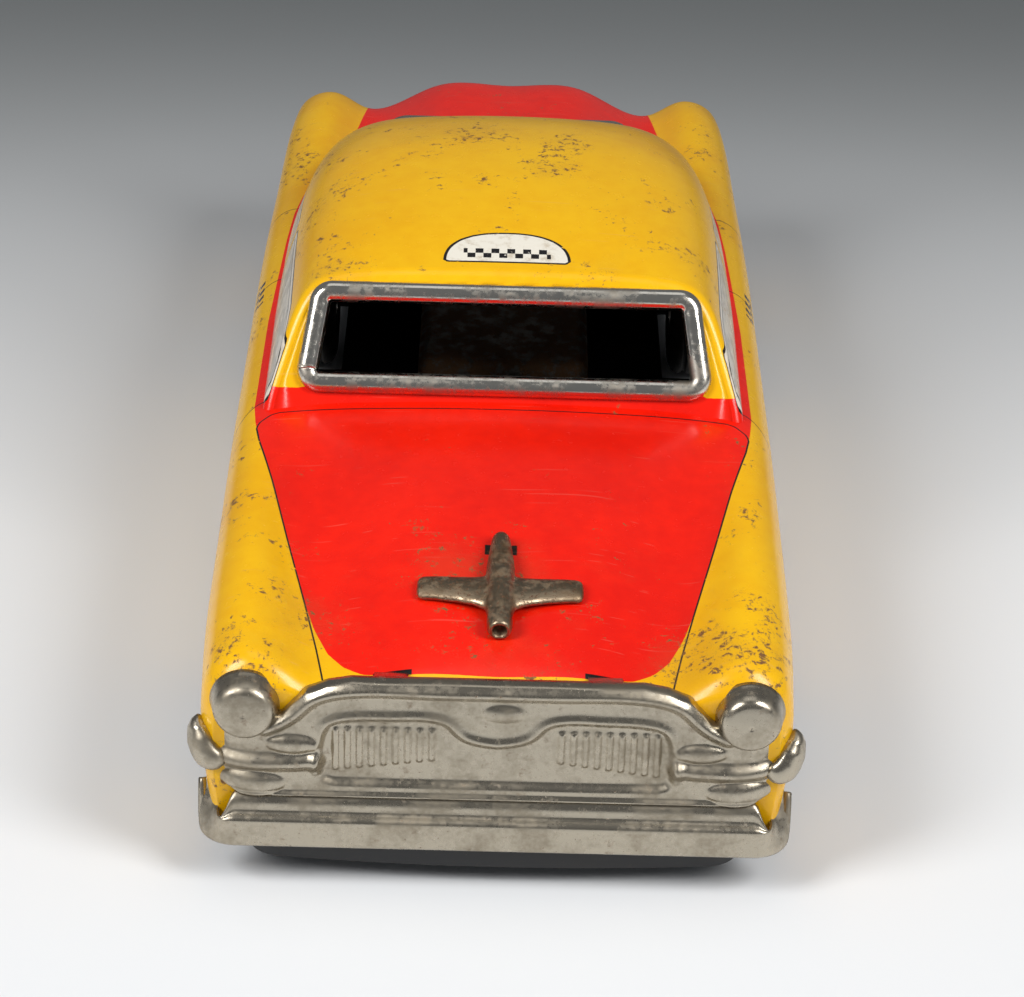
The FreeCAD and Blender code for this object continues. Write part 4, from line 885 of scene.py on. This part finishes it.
TRIM_BACK_Y = -97.25
PANEL_LOW_Z = 14.9
PANEL_HALF = 40.0
PANEL_LOW = [(0, 14.9), (34.3, 14.9), (36.5, 15.9), (40.0, 17.6)]
PANEL_TOP = [(0, 33.0), (19.5, 33.0), (22.6, 32.4), (25.6, 31.1), (27.3, 29.3), (28.6, 27.7), (31.0, 27.0),
             (34.0, 26.0), (36.4, 24.4), (37.2, 22.0), (38.2, 21.2), (40.0, 21.8)]
ARCH_BEAD = [(0, 32.0), (10, 32.0), (19.2, 31.95), (22.3, 31.4), (24.9, 30.2), (26.5, 28.6), (28.4, 27.0),
             (31.0, 25.6)]
LOOP_TOP = [(0, 23.5), (3.0, 24.0), (4.9, 25.0), (6.5, 26.7), (8.3, 27.4), (14.0, 27.5), (20.3, 27.2), (22.6, 26.3),
            (23.6, 24.6), (23.9, 22.6), (24.1, 18.9)]
LOOP_FOOT = [(23.9, 17.9), (23.2, 16.9), (22.0, 16.5), (13.7, 16.4), (0, 16.4)]
RIB_COUNT = 9


def bead_profile(distance, radius):
    return np.where(distance < radius, 0.5 + 0.5 * np.cos(math.pi * np.clip(distance / radius, 0, 1)), 0.0)


def oval(x, z, centre_x, centre_z, half_wide, half_high):
    """1 in the middle of an oval, falling in a dome to 0 at its edge."""
    reach = ((x - centre_x) / half_wide) ** 2 + ((z - centre_z) / half_high) ** 2
    return np.sqrt(np.clip(1 - reach, 0, 1))


def grille_relief(x, z):
    """How far the pressing stands forward, over its whole face."""
    ax = np.abs(x)
    arch = polyline_distance(ax, z, smooth_path(ARCH_BEAD, 5).tolist())
    loop = smooth_path(LOOP_TOP, 5).tolist()
    inside = polygon_inside(ax, z, [*loop, *LOOP_FOOT, (-1.0, 16.4), (-1.0, 23.5)])
    relief = 0.95 + 1.25 * bead_profile(arch, 1.7)
    relief += 0.45 * bead_profile(polyline_distance(ax, z, loop), 1.5)
    relief -= 0.8 * smoothstep(inside, -0.3, 1.0)
    bar = polyline_distance(ax, z, [(23.0, 20.6), (27.0, 20.1), (33.0, 19.9), (38.0, 20.0)])
    relief += 1.0 * bead_profile(bar, 1.9) * smoothstep(ax, 22.0, 24.5)
    for index in range(RIB_COUNT):
        across = 8.7 + index * 1.61
        low = 20.4 - 0.22 * index
        rib = bead_profile(np.abs(ax - across), 0.72)
        relief += 0.55 * rib * smoothstep(z, low - 0.3, low + 0.4) * smoothstep(z, 25.7, 25.1)
    relief += 0.6 * oval(x, z, 0.9, 28.6, 3.1, 1.5) ** 2
    relief += 0.9 * oval(ax, z, 27.4, 23.0, 3.6, 1.5) ** 1.5
    relief += 1.0 * oval(ax, z, 33.0, 16.6, 4.8, 1.9) ** 1.5
    relief += 0.5 * smoothstep(z, 15.6, 14.9)
    return relief


def panel_sweep(x):
    """How far the pressing turns back towards its sides."""
    return np.clip((np.abs(x) - 30) / 10, 0, 1) ** 2.4 * 3.4


def grille_panel():
    """The face as columns of points up to its curved top edge, with the edge turned back to the body."""
    xs = np.linspace(-PANEL_HALF, PANEL_HALF, 303)
    top = np.interp(np.abs(xs), *zip(*PANEL_TOP))
    low = np.interp(np.abs(xs), *zip(*PANEL_LOW))
    shares = np.linspace(0, 1, 76)[:, None]
    x = np.broadcast_to(xs, (len(shares), len(xs)))
    z = low + (top - low) * shares
    y = TRIM_BACK_Y - grille_relief(x, z) + panel_sweep(x)
    face = np.stack([x, y, z], axis=-1)
    folded = []
    lip_y = -95.2
    for rise, share in ((0.14, 0.06), (0.2, 0.18), (0.22, 0.4), (0.05, 0.65), (-0.5, 0.82), (-1.5, 0.93),
                        (-3.0, 1.0)):
        row = face[-1].copy()
        row[:, 1] += (lip_y - row[:, 1]) * share
        row[:, 2] += rise
        folded.append(row)
    return np.concatenate([face, folded])


# Distance out from the bumper's plan, and height, from the foot of the panel over the ledge and down the face.
LEDGE_PROFILE = [(-2.45, 14.9), (-2.0, 14.7), (-1.6, 14.3), (-1.25, 13.7), (-1.15, 13.1), (-1.15, 12.6), (-1.0, 12.3),
                 (-0.7, 12.1), (-0.35, 11.95), (-0.05, 11.7), (0.08, 11.4)]
FACE_PROFILE = [(0.1, 11.0), (0.02, 10.5), (-0.05, 9.5), (0.05, 8.2), (0.0, 7.6), (-0.2, 7.25), (-0.6, 7.1),
                (-1.2, 7.1)]
BUMPER_FACE_Y = -100.0
BUMPER_HALF = 40.6
BUMPER_CORNER = 5.4
BUMPER_TIP_Y = -93.3
TIP_LEAN = 3.0


def bumper_plan():
    """The bar's line from above, from one tip round both corners to the other."""
    turns = np.linspace(0, math.pi / 2, 14)
    straight = np.linspace(0, BUMPER_HALF - BUMPER_CORNER, 90)
    plan = [(x, BUMPER_FACE_Y) for x in straight[:-1]]
    for turn in turns:
        plan.append((BUMPER_HALF - BUMPER_CORNER * (1 - math.sin(turn)),
                     BUMPER_FACE_Y + BUMPER_CORNER * (1 - math.cos(turn))))
    plan += [(BUMPER_HALF, y) for y in np.linspace(BUMPER_FACE_Y + BUMPER_CORNER, BUMPER_TIP_Y, 10)[1:]]
    plan = np.array(plan)
    return np.vstack([plan[::-1] * [-1, 1], plan[1:]])


def bumper_bar(tip_z):
    """The ledge and bumper in one sheet: the ledge dies out before the corners, and both tips rise."""
    plan = bumper_plan()
    tangent = np.gradient(plan, axis=0)
    tangent /= np.linalg.norm(tangent, axis=1)[:, None]
    outward = np.stack([tangent[:, 1], -tangent[:, 0]], axis=-1)
    ax = np.abs(plan[:, 0])
    ends = smoothstep(ax, 35.4, 37.4)
    tip = np.clip((plan[:, 1] - BUMPER_FACE_Y) / (BUMPER_TIP_Y - BUMPER_FACE_Y), 0, 1)
    edge_out, edge_z = LEDGE_PROFILE[-1]
    low_z = FACE_PROFILE[-1][1]
    grid = []
    for index, (out, z) in enumerate(LEDGE_PROFILE + FACE_PROFILE):
        heights = np.full(len(plan), z)
        outs = np.full(len(plan), out)
        if index < len(LEDGE_PROFILE):
            heights = z + (edge_z + 0.01 * (z - edge_z) - z) * ends
            outs = out + (edge_out + 0.05 * (out - edge_out) - out) * ends
        share = (np.minimum(heights, edge_z) - low_z) / (edge_z - low_z)
        heights = heights + (tip_z - edge_z) * share * tip ** 2.0
        heights = heights + (tip_z - 0.6 - low_z) * (1 - share) * smoothstep(tip, 0.55, 1.0)
        lean = TIP_LEAN * share ** 1.5 * smoothstep(ax, BUMPER_HALF - 4.0, BUMPER_HALF)
        points = plan + outward * (outs - lean)[:, None]
        grid.append(np.stack([points[:, 0], points[:, 1], heights], axis=-1))
    return np.array(grid)


def horn(side):
    """The rounded scoop at the corner, broad below and narrow at its top."""
    path = smooth_path([(36.6, -97.4, 19.6), (37.8, -97.3, 19.8), (39.0, -96.6, 20.3), (39.8, -95.6, 21.7),
                        (40.2, -94.8, 23.2), (40.2, -94.3, 24.5)], 6)
    stations = np.linspace(0, 1, len(path))
    radii = np.interp(stations, [0, 0.12, 0.35, 0.6, 0.8, 0.93, 1.0], [0.3, 1.3, 2.0, 2.1, 1.6, 0.9, 0.1])
    grid = tube(path, radii, 24, 0.7)
    return grid * [side, 1, 1]


def headlamp(side):
    """A short plain drum with a rounded edge and a slightly domed face."""
    profile = [(4.9, -0.4), (4.66, 0.2), (4.5, 0.8), (4.36, 1.5), (4.22, 2.1), (4.03, 2.6), (3.76, 3.02),
               (3.4, 3.3), (2.95, 3.43), (2.3, 3.52), (1.5, 3.62), (0.6, 3.7), (0.01, 3.71)]
    return lathe(profile, (side * 33.6, -96.5, 28.4), (side * 0.03, -1.0, 0.03), 64)


def trim_tab(x):
    """A small tab of the pressing bent back over the hood's lip."""
    ys = np.array([-97.4, -97.0, -96.4, -95.2, -94.0, -93.2])
    zs = np.array([32.9, 33.15, 33.0, 32.4, 31.9, 31.55])
    across = np.linspace(-2.3, 2.3, 9)
    grid = np.empty((len(ys), len(across), 3))
    grid[..., 0] = x + across[None]
    grid[..., 1] = ys[:, None]
    grid[..., 2] = zs[:, None]
    return grid


def front_pressing(material):
    mesh = Mesh()
    mesh.add_grid(grille_panel())
    mesh.add_grid(bumper_bar(14.2)[::-1])
    for side in (-1, 1):
        mesh.add_grid(horn(side)[::side], closed_columns=True)
        mesh.add_grid(headlamp(side), closed_columns=True)
        mesh.add_grid(trim_tab(side * 14.3))
    points, faces = mesh.arrays()
    piece = make_piece("front_pressing", points, faces, material, replaces=("front_trim",))
    add_modifier(piece, "SOLIDIFY", thickness=0.3 * MM, offset=-1.0, use_even_offset=False)
    return piece


# Half the width of the window frames' half-round bead, and its height above the window plane.
FRAME_HALF = 1.6
FRAME_HEIGHT = 1.65
FRAME_CORNER = 1.9


def rounded_outline(corners, radius):
    """A closed outline whose corners are turned in arcs."""
    path = []
    for index, point in enumerate(corners):
        point = np.array(point)
        before = np.array(corners[index - 1]) - point
        gap = np.array(corners[(index + 1) % len(corners)]) - point
        before /= np.linalg.norm(before)
        after = gap / np.linalg.norm(gap)
        half_angle = math.acos(float(before @ after)) / 2
        trim = radius / math.tan(half_angle)
        middle = point + (before + after) / np.linalg.norm(before + after) * radius / math.sin(half_angle)
        start = point + before * trim - middle
        finish = point + after * trim - middle
        for share in np.linspace(0, 1, 12):
            mixed = start * (1 - share) + finish * share
            path.append(middle + mixed / np.linalg.norm(mixed) * radius)
        arc_end = path[-1]
        run = np.linalg.norm(gap) - 2 * trim
        for share in np.linspace(0, 1, 42)[1:-1]:
            path.append(arc_end + after * run * share)
    return np.array(path)


def frame_bead(name, window, node, material):
    """A half-round bead bent round a window opening."""
    plane = SlantedPlane(window)
    inset = FRAME_HALF - 0.35
    low, top = window["low"] - inset, window["top"] - inset
    bottom, height = inset + 0.3, window["height"] - inset
    path = rounded_outline([(-low, bottom), (low, bottom), (top, height), (-top, height)], FRAME_CORNER)
    tangent = np.roll(path, -1, axis=0) - np.roll(path, 1, axis=0)
    tangent /= np.linalg.norm(tangent, axis=1)[:, None]
    normal = np.stack([tangent[:, 1], -tangent[:, 0]], axis=-1)
    outwards = np.array([0, -plane.up[2], plane.up[1]])
    outwards = outwards * (1 if outwards[2] > 0 else -1)
    turns = np.linspace(0, math.pi, 15)
    section = [(FRAME_HALF * math.cos(turn), FRAME_HEIGHT * math.sin(turn) ** 0.8) for turn in turns]
    section += [(-FRAME_HALF + 0.15, -0.25), (FRAME_HALF - 0.15, -0.25)]
    grid = []
    for offset, rise in section:
        flat = path + normal * offset
        grid.append(plane.point(flat[:, 0], flat[:, 1]) + outwards * rise)
    points, faces = Mesh().add_grid(np.array(grid), closed_columns=True, closed_rows=True).arrays()
    return make_piece(name, points, faces, material, replaces=(node,))


def rear_pressing(material):
    """The rear bumper and two round lamps, made the same way as the front."""
    mesh = Mesh()
    xs = np.arange(-36.0, 36.01, 0.4)
    zs = np.arange(PANEL_LOW_Z, 19.81, 0.28)
    x, z = np.meshgrid(xs, zs)
    relief = 0.4 + 1.0 * bead_profile(np.abs(z - 18.9), 0.9) + 0.5 * smoothstep(z, 15.6, 14.9)
    relief += 0.5 * oval(np.abs(x), z, 18.0, 16.6, 9.0, 1.3)
    mesh.add_grid(np.stack([x, TRIM_BACK_Y - relief, z], axis=-1))
    mesh.add_grid(bumper_bar(13.6)[::-1])
    lamp_profile = [(3.5, -0.1), (3.5, 0.4), (3.2, 0.8), (2.9, 0.75), (2.7, 0.9), (2.6, 1.3), (2.2, 1.8), (1.5, 2.15),
                    (0.7, 2.3), (0.01, 2.33)]
    guard_profile = [(0.01, 0.0), (1.0, 0.25), (1.45, 1.1), (1.5, 3.0), (1.35, 5.0), (0.9, 6.3), (0.01, 6.9)]
    for side in (-1, 1):
        lamp = lathe(lamp_profile, (side * 32.0, TRIM_BACK_Y - 0.1, 22.0), (0, -1, 0), 40)
        mesh.add_grid(lamp, closed_columns=True)
        guard = lathe(guard_profile, (side * 17.5, -99.5, 7.8), (0, 0, 1), 20)
        mesh.add_grid(guard, closed_columns=True)
    points, faces = mesh.arrays()
    piece = make_piece("rear_pressing", points * [-1, -1, 1], faces, material, replaces=("rear_trim",))
    add_modifier(piece, "SOLIDIFY", thickness=0.3 * MM, offset=-1.0, use_even_offset=False)
    return piece


# --------------------------------------------------------------------------------------------- ornament

def hood_plane(material):
    """A small cast jet plane: hollow nose, stubby wings and a blunt tail, softened like an old casting."""
    nose = np.array([0.0, -87.3, 34.7])
    tail = np.array([0.0, -66.0, 37.3])
    along = (tail - nose) / np.linalg.norm(tail - nose)
    length = np.linalg.norm(tail - nose)
    mesh = Mesh()
    profile = [(0.01, 1.9), (0.6, 1.7), (0.85, 0.7), (1.0, 0.1), (1.25, -0.1), (1.55, 0.15), (1.75, 0.9), (1.78, 2.2),
               (1.7, 3.3), (1.95, 4.4), (2.1, 6.5), (2.1, 10.5), (1.95, 14.0), (1.65, 17.0), (1.45, 19.0),
               (1.25, 20.3), (0.8, length - 0.3), (0.01, length)]
    mesh.add_grid(lathe(profile, nose, along, 32), closed_columns=True)
    turns = np.linspace(0, 2 * math.pi, 24, endpoint=False)
    for side in (-1, 1):
        sections = []
        for reach, middle, chord, thick, height in (
                (-1.0, -79.0, 0.02, 0.02, 35.6), (-1.0, -79.0, 7.0, 2.4, 35.6), (0.0, -79.0, 7.4, 2.6, 35.6),
                (2.2, -78.9, 6.8, 2.3, 35.6), (3.4, -78.6, 5.9, 2.0, 35.6),
                (6.0, -78.1, 5.2, 1.9, 35.5), (9.0, -77.7, 4.8, 1.9, 35.4), (10.6, -77.6, 4.6, 1.8, 35.3),
                (11.2, -77.6, 4.0, 1.4, 35.3), (11.45, -77.6, 2.4, 0.6, 35.3),
                (11.5, -77.6, 0.02, 0.02, 35.3)):
            ring = np.array([side * reach, middle, height])
            ring = ring + np.outer(np.cos(turns), [0, chord / 2, chord * 0.05])
            ring = ring + np.outer(np.sin(turns), [0, 0, thick / 2])
            sections.append(ring)
        grid = np.array(sections)
        mesh.add_grid(grid[::-side], closed_columns=True)
    points, faces = mesh.arrays()
    hood = np.interp(points[:, 1], [-88, -84, -63.5, -60], [33.0, 33.7, 36.6, 36.9])
    points[:, 2] = np.maximum(points[:, 2], hood)
    piece = make_piece("hood_plane", points, faces, material, replaces=("hood_ornament",))
    add_modifier(piece, "REMESH", mode="VOXEL", voxel_size=0.2 * MM, use_smooth_shade=True)
    add_modifier(piece, "SMOOTH", factor=0.5, iterations=3)
    return piece


# --------------------------------------------------------------------------------------------- wheels

def wheel(end, hand, rubber, plate):
    side = 1 if hand == "right" else -1
    low, high = node_box(f"tyre_{end}_{hand}")
    centre = (low + high) / 2
    radius = (high[2] - low[2]) / 2
    half = (high[0] - low[0]) / 2
    body = f"{end}_wheels"
    tread = [(8.0, -half), (8.5, -half), (8.7, -half + 0.25), (9.1, -half + 0.25), (9.3, -half), (11.0, -half + 0.1)]
    tread += [(radius - 1.4, -half + 0.35), (radius - 0.5, -half + 0.9), (radius - 0.1, -half + 1.6)]
    for groove in (-1.8, 0.0, 1.8):
        tread += [(radius, groove - 0.45), (radius - 0.35, groove - 0.28), (radius - 0.35, groove + 0.28),
                  (radius, groove + 0.45)]
    mirrored = [(r, -a) for r, a in reversed(tread[:9])]
    profile = tread + mirrored
    mesh = Mesh().add_grid(lathe(profile, centre, (side, 0, 0), 96), closed_columns=True, closed_rows=True)
    points, faces = mesh.arrays()
    tyre = make_piece(f"tyre_{end}_{hand}_rubber", points, faces, rubber, body, (f"tyre_{end}_{hand}",))
    add_modifier(tyre, "BEVEL", width=0.12 * MM, segments=2, limit_method="ANGLE", angle_limit=0.7)

    disc = [(1.25, -3.9), (2.7, -3.9), (2.75, 1.3), (7.0, 1.3), (7.2, -4.1), (7.95, -4.15), (7.98, 4.1), (7.5, 4.3),
            (7.2, 4.1), (7.05, 3.2), (6.8, 2.55), (6.3, 2.3), (5.6, 2.45), (5.0, 2.9), (4.3, 3.05), (3.7, 2.8),
            (3.3, 2.5), (3.0, 2.6), (2.7, 3.1), (2.2, 3.6), (1.5, 3.85), (1.25, 3.9)]
    points, faces = Mesh().add_grid(lathe(disc, centre, (side, 0, 0), 72), closed_columns=True,
                                    closed_rows=True).arrays()
    hub = make_piece(f"hub_{end}_{hand}_disc", points, faces, plate, body, (f"hub_{end}_{hand}",))
    add_modifier(hub, "BEVEL", width=0.1 * MM, segments=2, limit_method="ANGLE", angle_limit=0.6)


# --------------------------------------------------------------------------------------------- studio

def camera():
    """Looks down at the front from a little over half a metre, as in a product shot."""
    elevation, yaw, roll = math.radians(30.03), math.radians(-0.57), math.radians(1.77)
    distance, focal_px, width_px = 528.0, 3245.0, 1024.0
    target = Vector((2.0, 0.0, 5.0))
    level_reach = math.cos(elevation)
    back = Vector((math.sin(yaw) * level_reach, -math.cos(yaw) * level_reach, math.sin(elevation)))
    level = Vector((math.cos(yaw), math.sin(yaw), 0.0))
    upright = back.cross(level)
    right = level * math.cos(roll) + upright * math.sin(roll)
    up = upright * math.cos(roll) - level * math.sin(roll)
    data = bpy.data.cameras.new("camera")
    data.sensor_width = 36.0
    data.lens = focal_px / width_px * data.sensor_width
    data.clip_start = 0.01
    view = bpy.data.objects.new("camera", data)
    rotation = Matrix((right, up, back)).transposed()
    view.matrix_world = Matrix.Translation((target + back * distance) * MM) @ rotation.to_4x4()
    bpy.context.scene.collection.objects.link(view)
    bpy.context.scene.camera = view


def area_light(name, place, target, size, power):
    data = bpy.data.lights.new(name, "AREA")
    data.shape = "RECTANGLE"
    data.size, data.size_y = size
    data.energy = power
    light = bpy.data.objects.new(name, data)
    light.location = place
    light.rotation_euler = (Vector(target) - Vector(place)).to_track_quat("-Z", "Y").to_euler()
    bpy.context.scene.collection.objects.link(light)


FLOOR_HALF = 1500.0


def studio():
    """A pale floor with painted shade that darkens behind the car and a little in front of it, and soft light from
    both front corners.
    """
    floor_shader = Shader("studio_floor")
    y = floor_shader.axes()[1]
    # Painted shade: the floor colour falls off behind the car and in front of it, standing in for light fading with
    # distance.
    far = floor_shader.step(y, -40.0, 260.0)
    near = floor_shader.step(y, -110.0, -230.0)
    grain = floor_shader.noise(0.01, 3.0)
    colour = floor_shader.mix(far, (0.82, 0.83, 0.84), (0.17, 0.18, 0.18))
    colour = floor_shader.mix(near, colour, (0.64, 0.655, 0.67))
    colour = floor_shader.mix(floor_shader.times(grain, 0.04), colour, (0.6, 0.62, 0.66))
    floor_shader.set(Base_Color=colour)
    floor_shader.surface.inputs["Roughness"].default_value = 0.6
    corners = [(-1, -1), (1, -1), (1, 1), (-1, 1)]
    mesh = bpy.data.meshes.new("floor")
    mesh.from_pydata([(across * FLOOR_HALF * MM, along * FLOOR_HALF * MM, 0) for across, along in corners],
                     [], [(0, 1, 2, 3)])
    mesh.materials.append(floor_shader.material)
    floor = bpy.data.objects.new("floor", mesh)
    bpy.context.scene.collection.objects.link(floor)

    world = bpy.data.worlds.new("studio")
    world.use_nodes = True
    background = next(node for node in world.node_tree.nodes if node.type == "BACKGROUND")
    background.inputs["Color"].default_value = (0.92, 0.95, 1.0, 1.0)
    background.inputs["Strength"].default_value = 0.17
    scene = bpy.context.scene
    scene.world = world
    scene.view_settings.view_transform = "Standard"
    for side in (-1, 1):
        area_light(f"softbox_{side}", (side * 0.42, -0.34, 0.50), (0, -0.06, 0.02), (0.22, 0.34), 3.2)
    area_light("overhead", (0.0, 0.05, 0.8), (0, 0, 0), (0.5, 0.4), 0.4)


# --------------------------------------------------------------------------------------------- assembly

def finish_cad_nodes(materials):
    """Gives the CAD nodes that stay visible their finish."""
    for node, material in materials.items():
        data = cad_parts[node].data
        data.materials.clear()
        data.materials.append(material)


def build():
    camera()
    studio()
    nickel = plating("nickel_front", rust=0.03)
    frame_nickel = plating("nickel_frame", (0.72, 0.69, 0.62), (0.36, 0.32, 0.26), -0.05, 0.12)
    rear_nickel = plating("nickel_rear", rust=0.0)
    ornament = plating("ornament_casting", (0.36, 0.28, 0.19), (0.20, 0.13, 0.07), 0.12, 0.3)
    rubber = tyre_rubber()
    hub_plate = plating("nickel_hub", (0.58, 0.56, 0.52), (0.26, 0.23, 0.19), -0.01, 0.2)
    tin = inner_tin()
    printed_body(litho_enamel(), tin)
    front_pressing(nickel)
    frame_bead("windscreen_bead", WINDSCREEN, "windshield_frame", frame_nickel)
    frame_bead("rear_window_bead", REAR_WINDOW, "rear_window_frame", frame_nickel)
    rear_pressing(rear_nickel)
    hood_plane(ornament)
    for end in ("front", "rear"):
        for hand in ("left", "right"):
            wheel(end, hand, rubber, hub_plate)
    steel = plain_metal("rod_steel", (0.52, 0.51, 0.50), (0.30, 0.28, 0.26), 0.22, 0.42)
    brass = plain_metal("gear_brass", (0.68, 0.48, 0.18), (0.36, 0.24, 0.09), 0.28, 0.5)
    iron = plain_metal("flywheel_iron", (0.22, 0.22, 0.23), (0.11, 0.09, 0.08), 0.4, 0.65)
    strip = rusty_metal("bracket_tin", 0.15)
    cover = rusty_metal("cover_tin", 0.42)
    finishes = {"base_plate": black_enamel(), "motor_cover": cover, "frame_spacers": steel}
    for node in ("front_axle_bracket", "motor_frame_left", "motor_frame_right"):
        finishes[node] = strip
    for node in ("front_axle", "rear_axle", "first_shaft", "second_shaft", "flywheel_shaft"):
        finishes[node] = steel
    for node in ("drive_gear", "first_pinion", "first_gear", "second_pinion", "second_gear", "flywheel_pinion"):
        finishes[node] = brass
    for node in ("flywheel_left", "flywheel_right"):
        finishes[node] = iron
    finish_cad_nodes(finishes)


build()
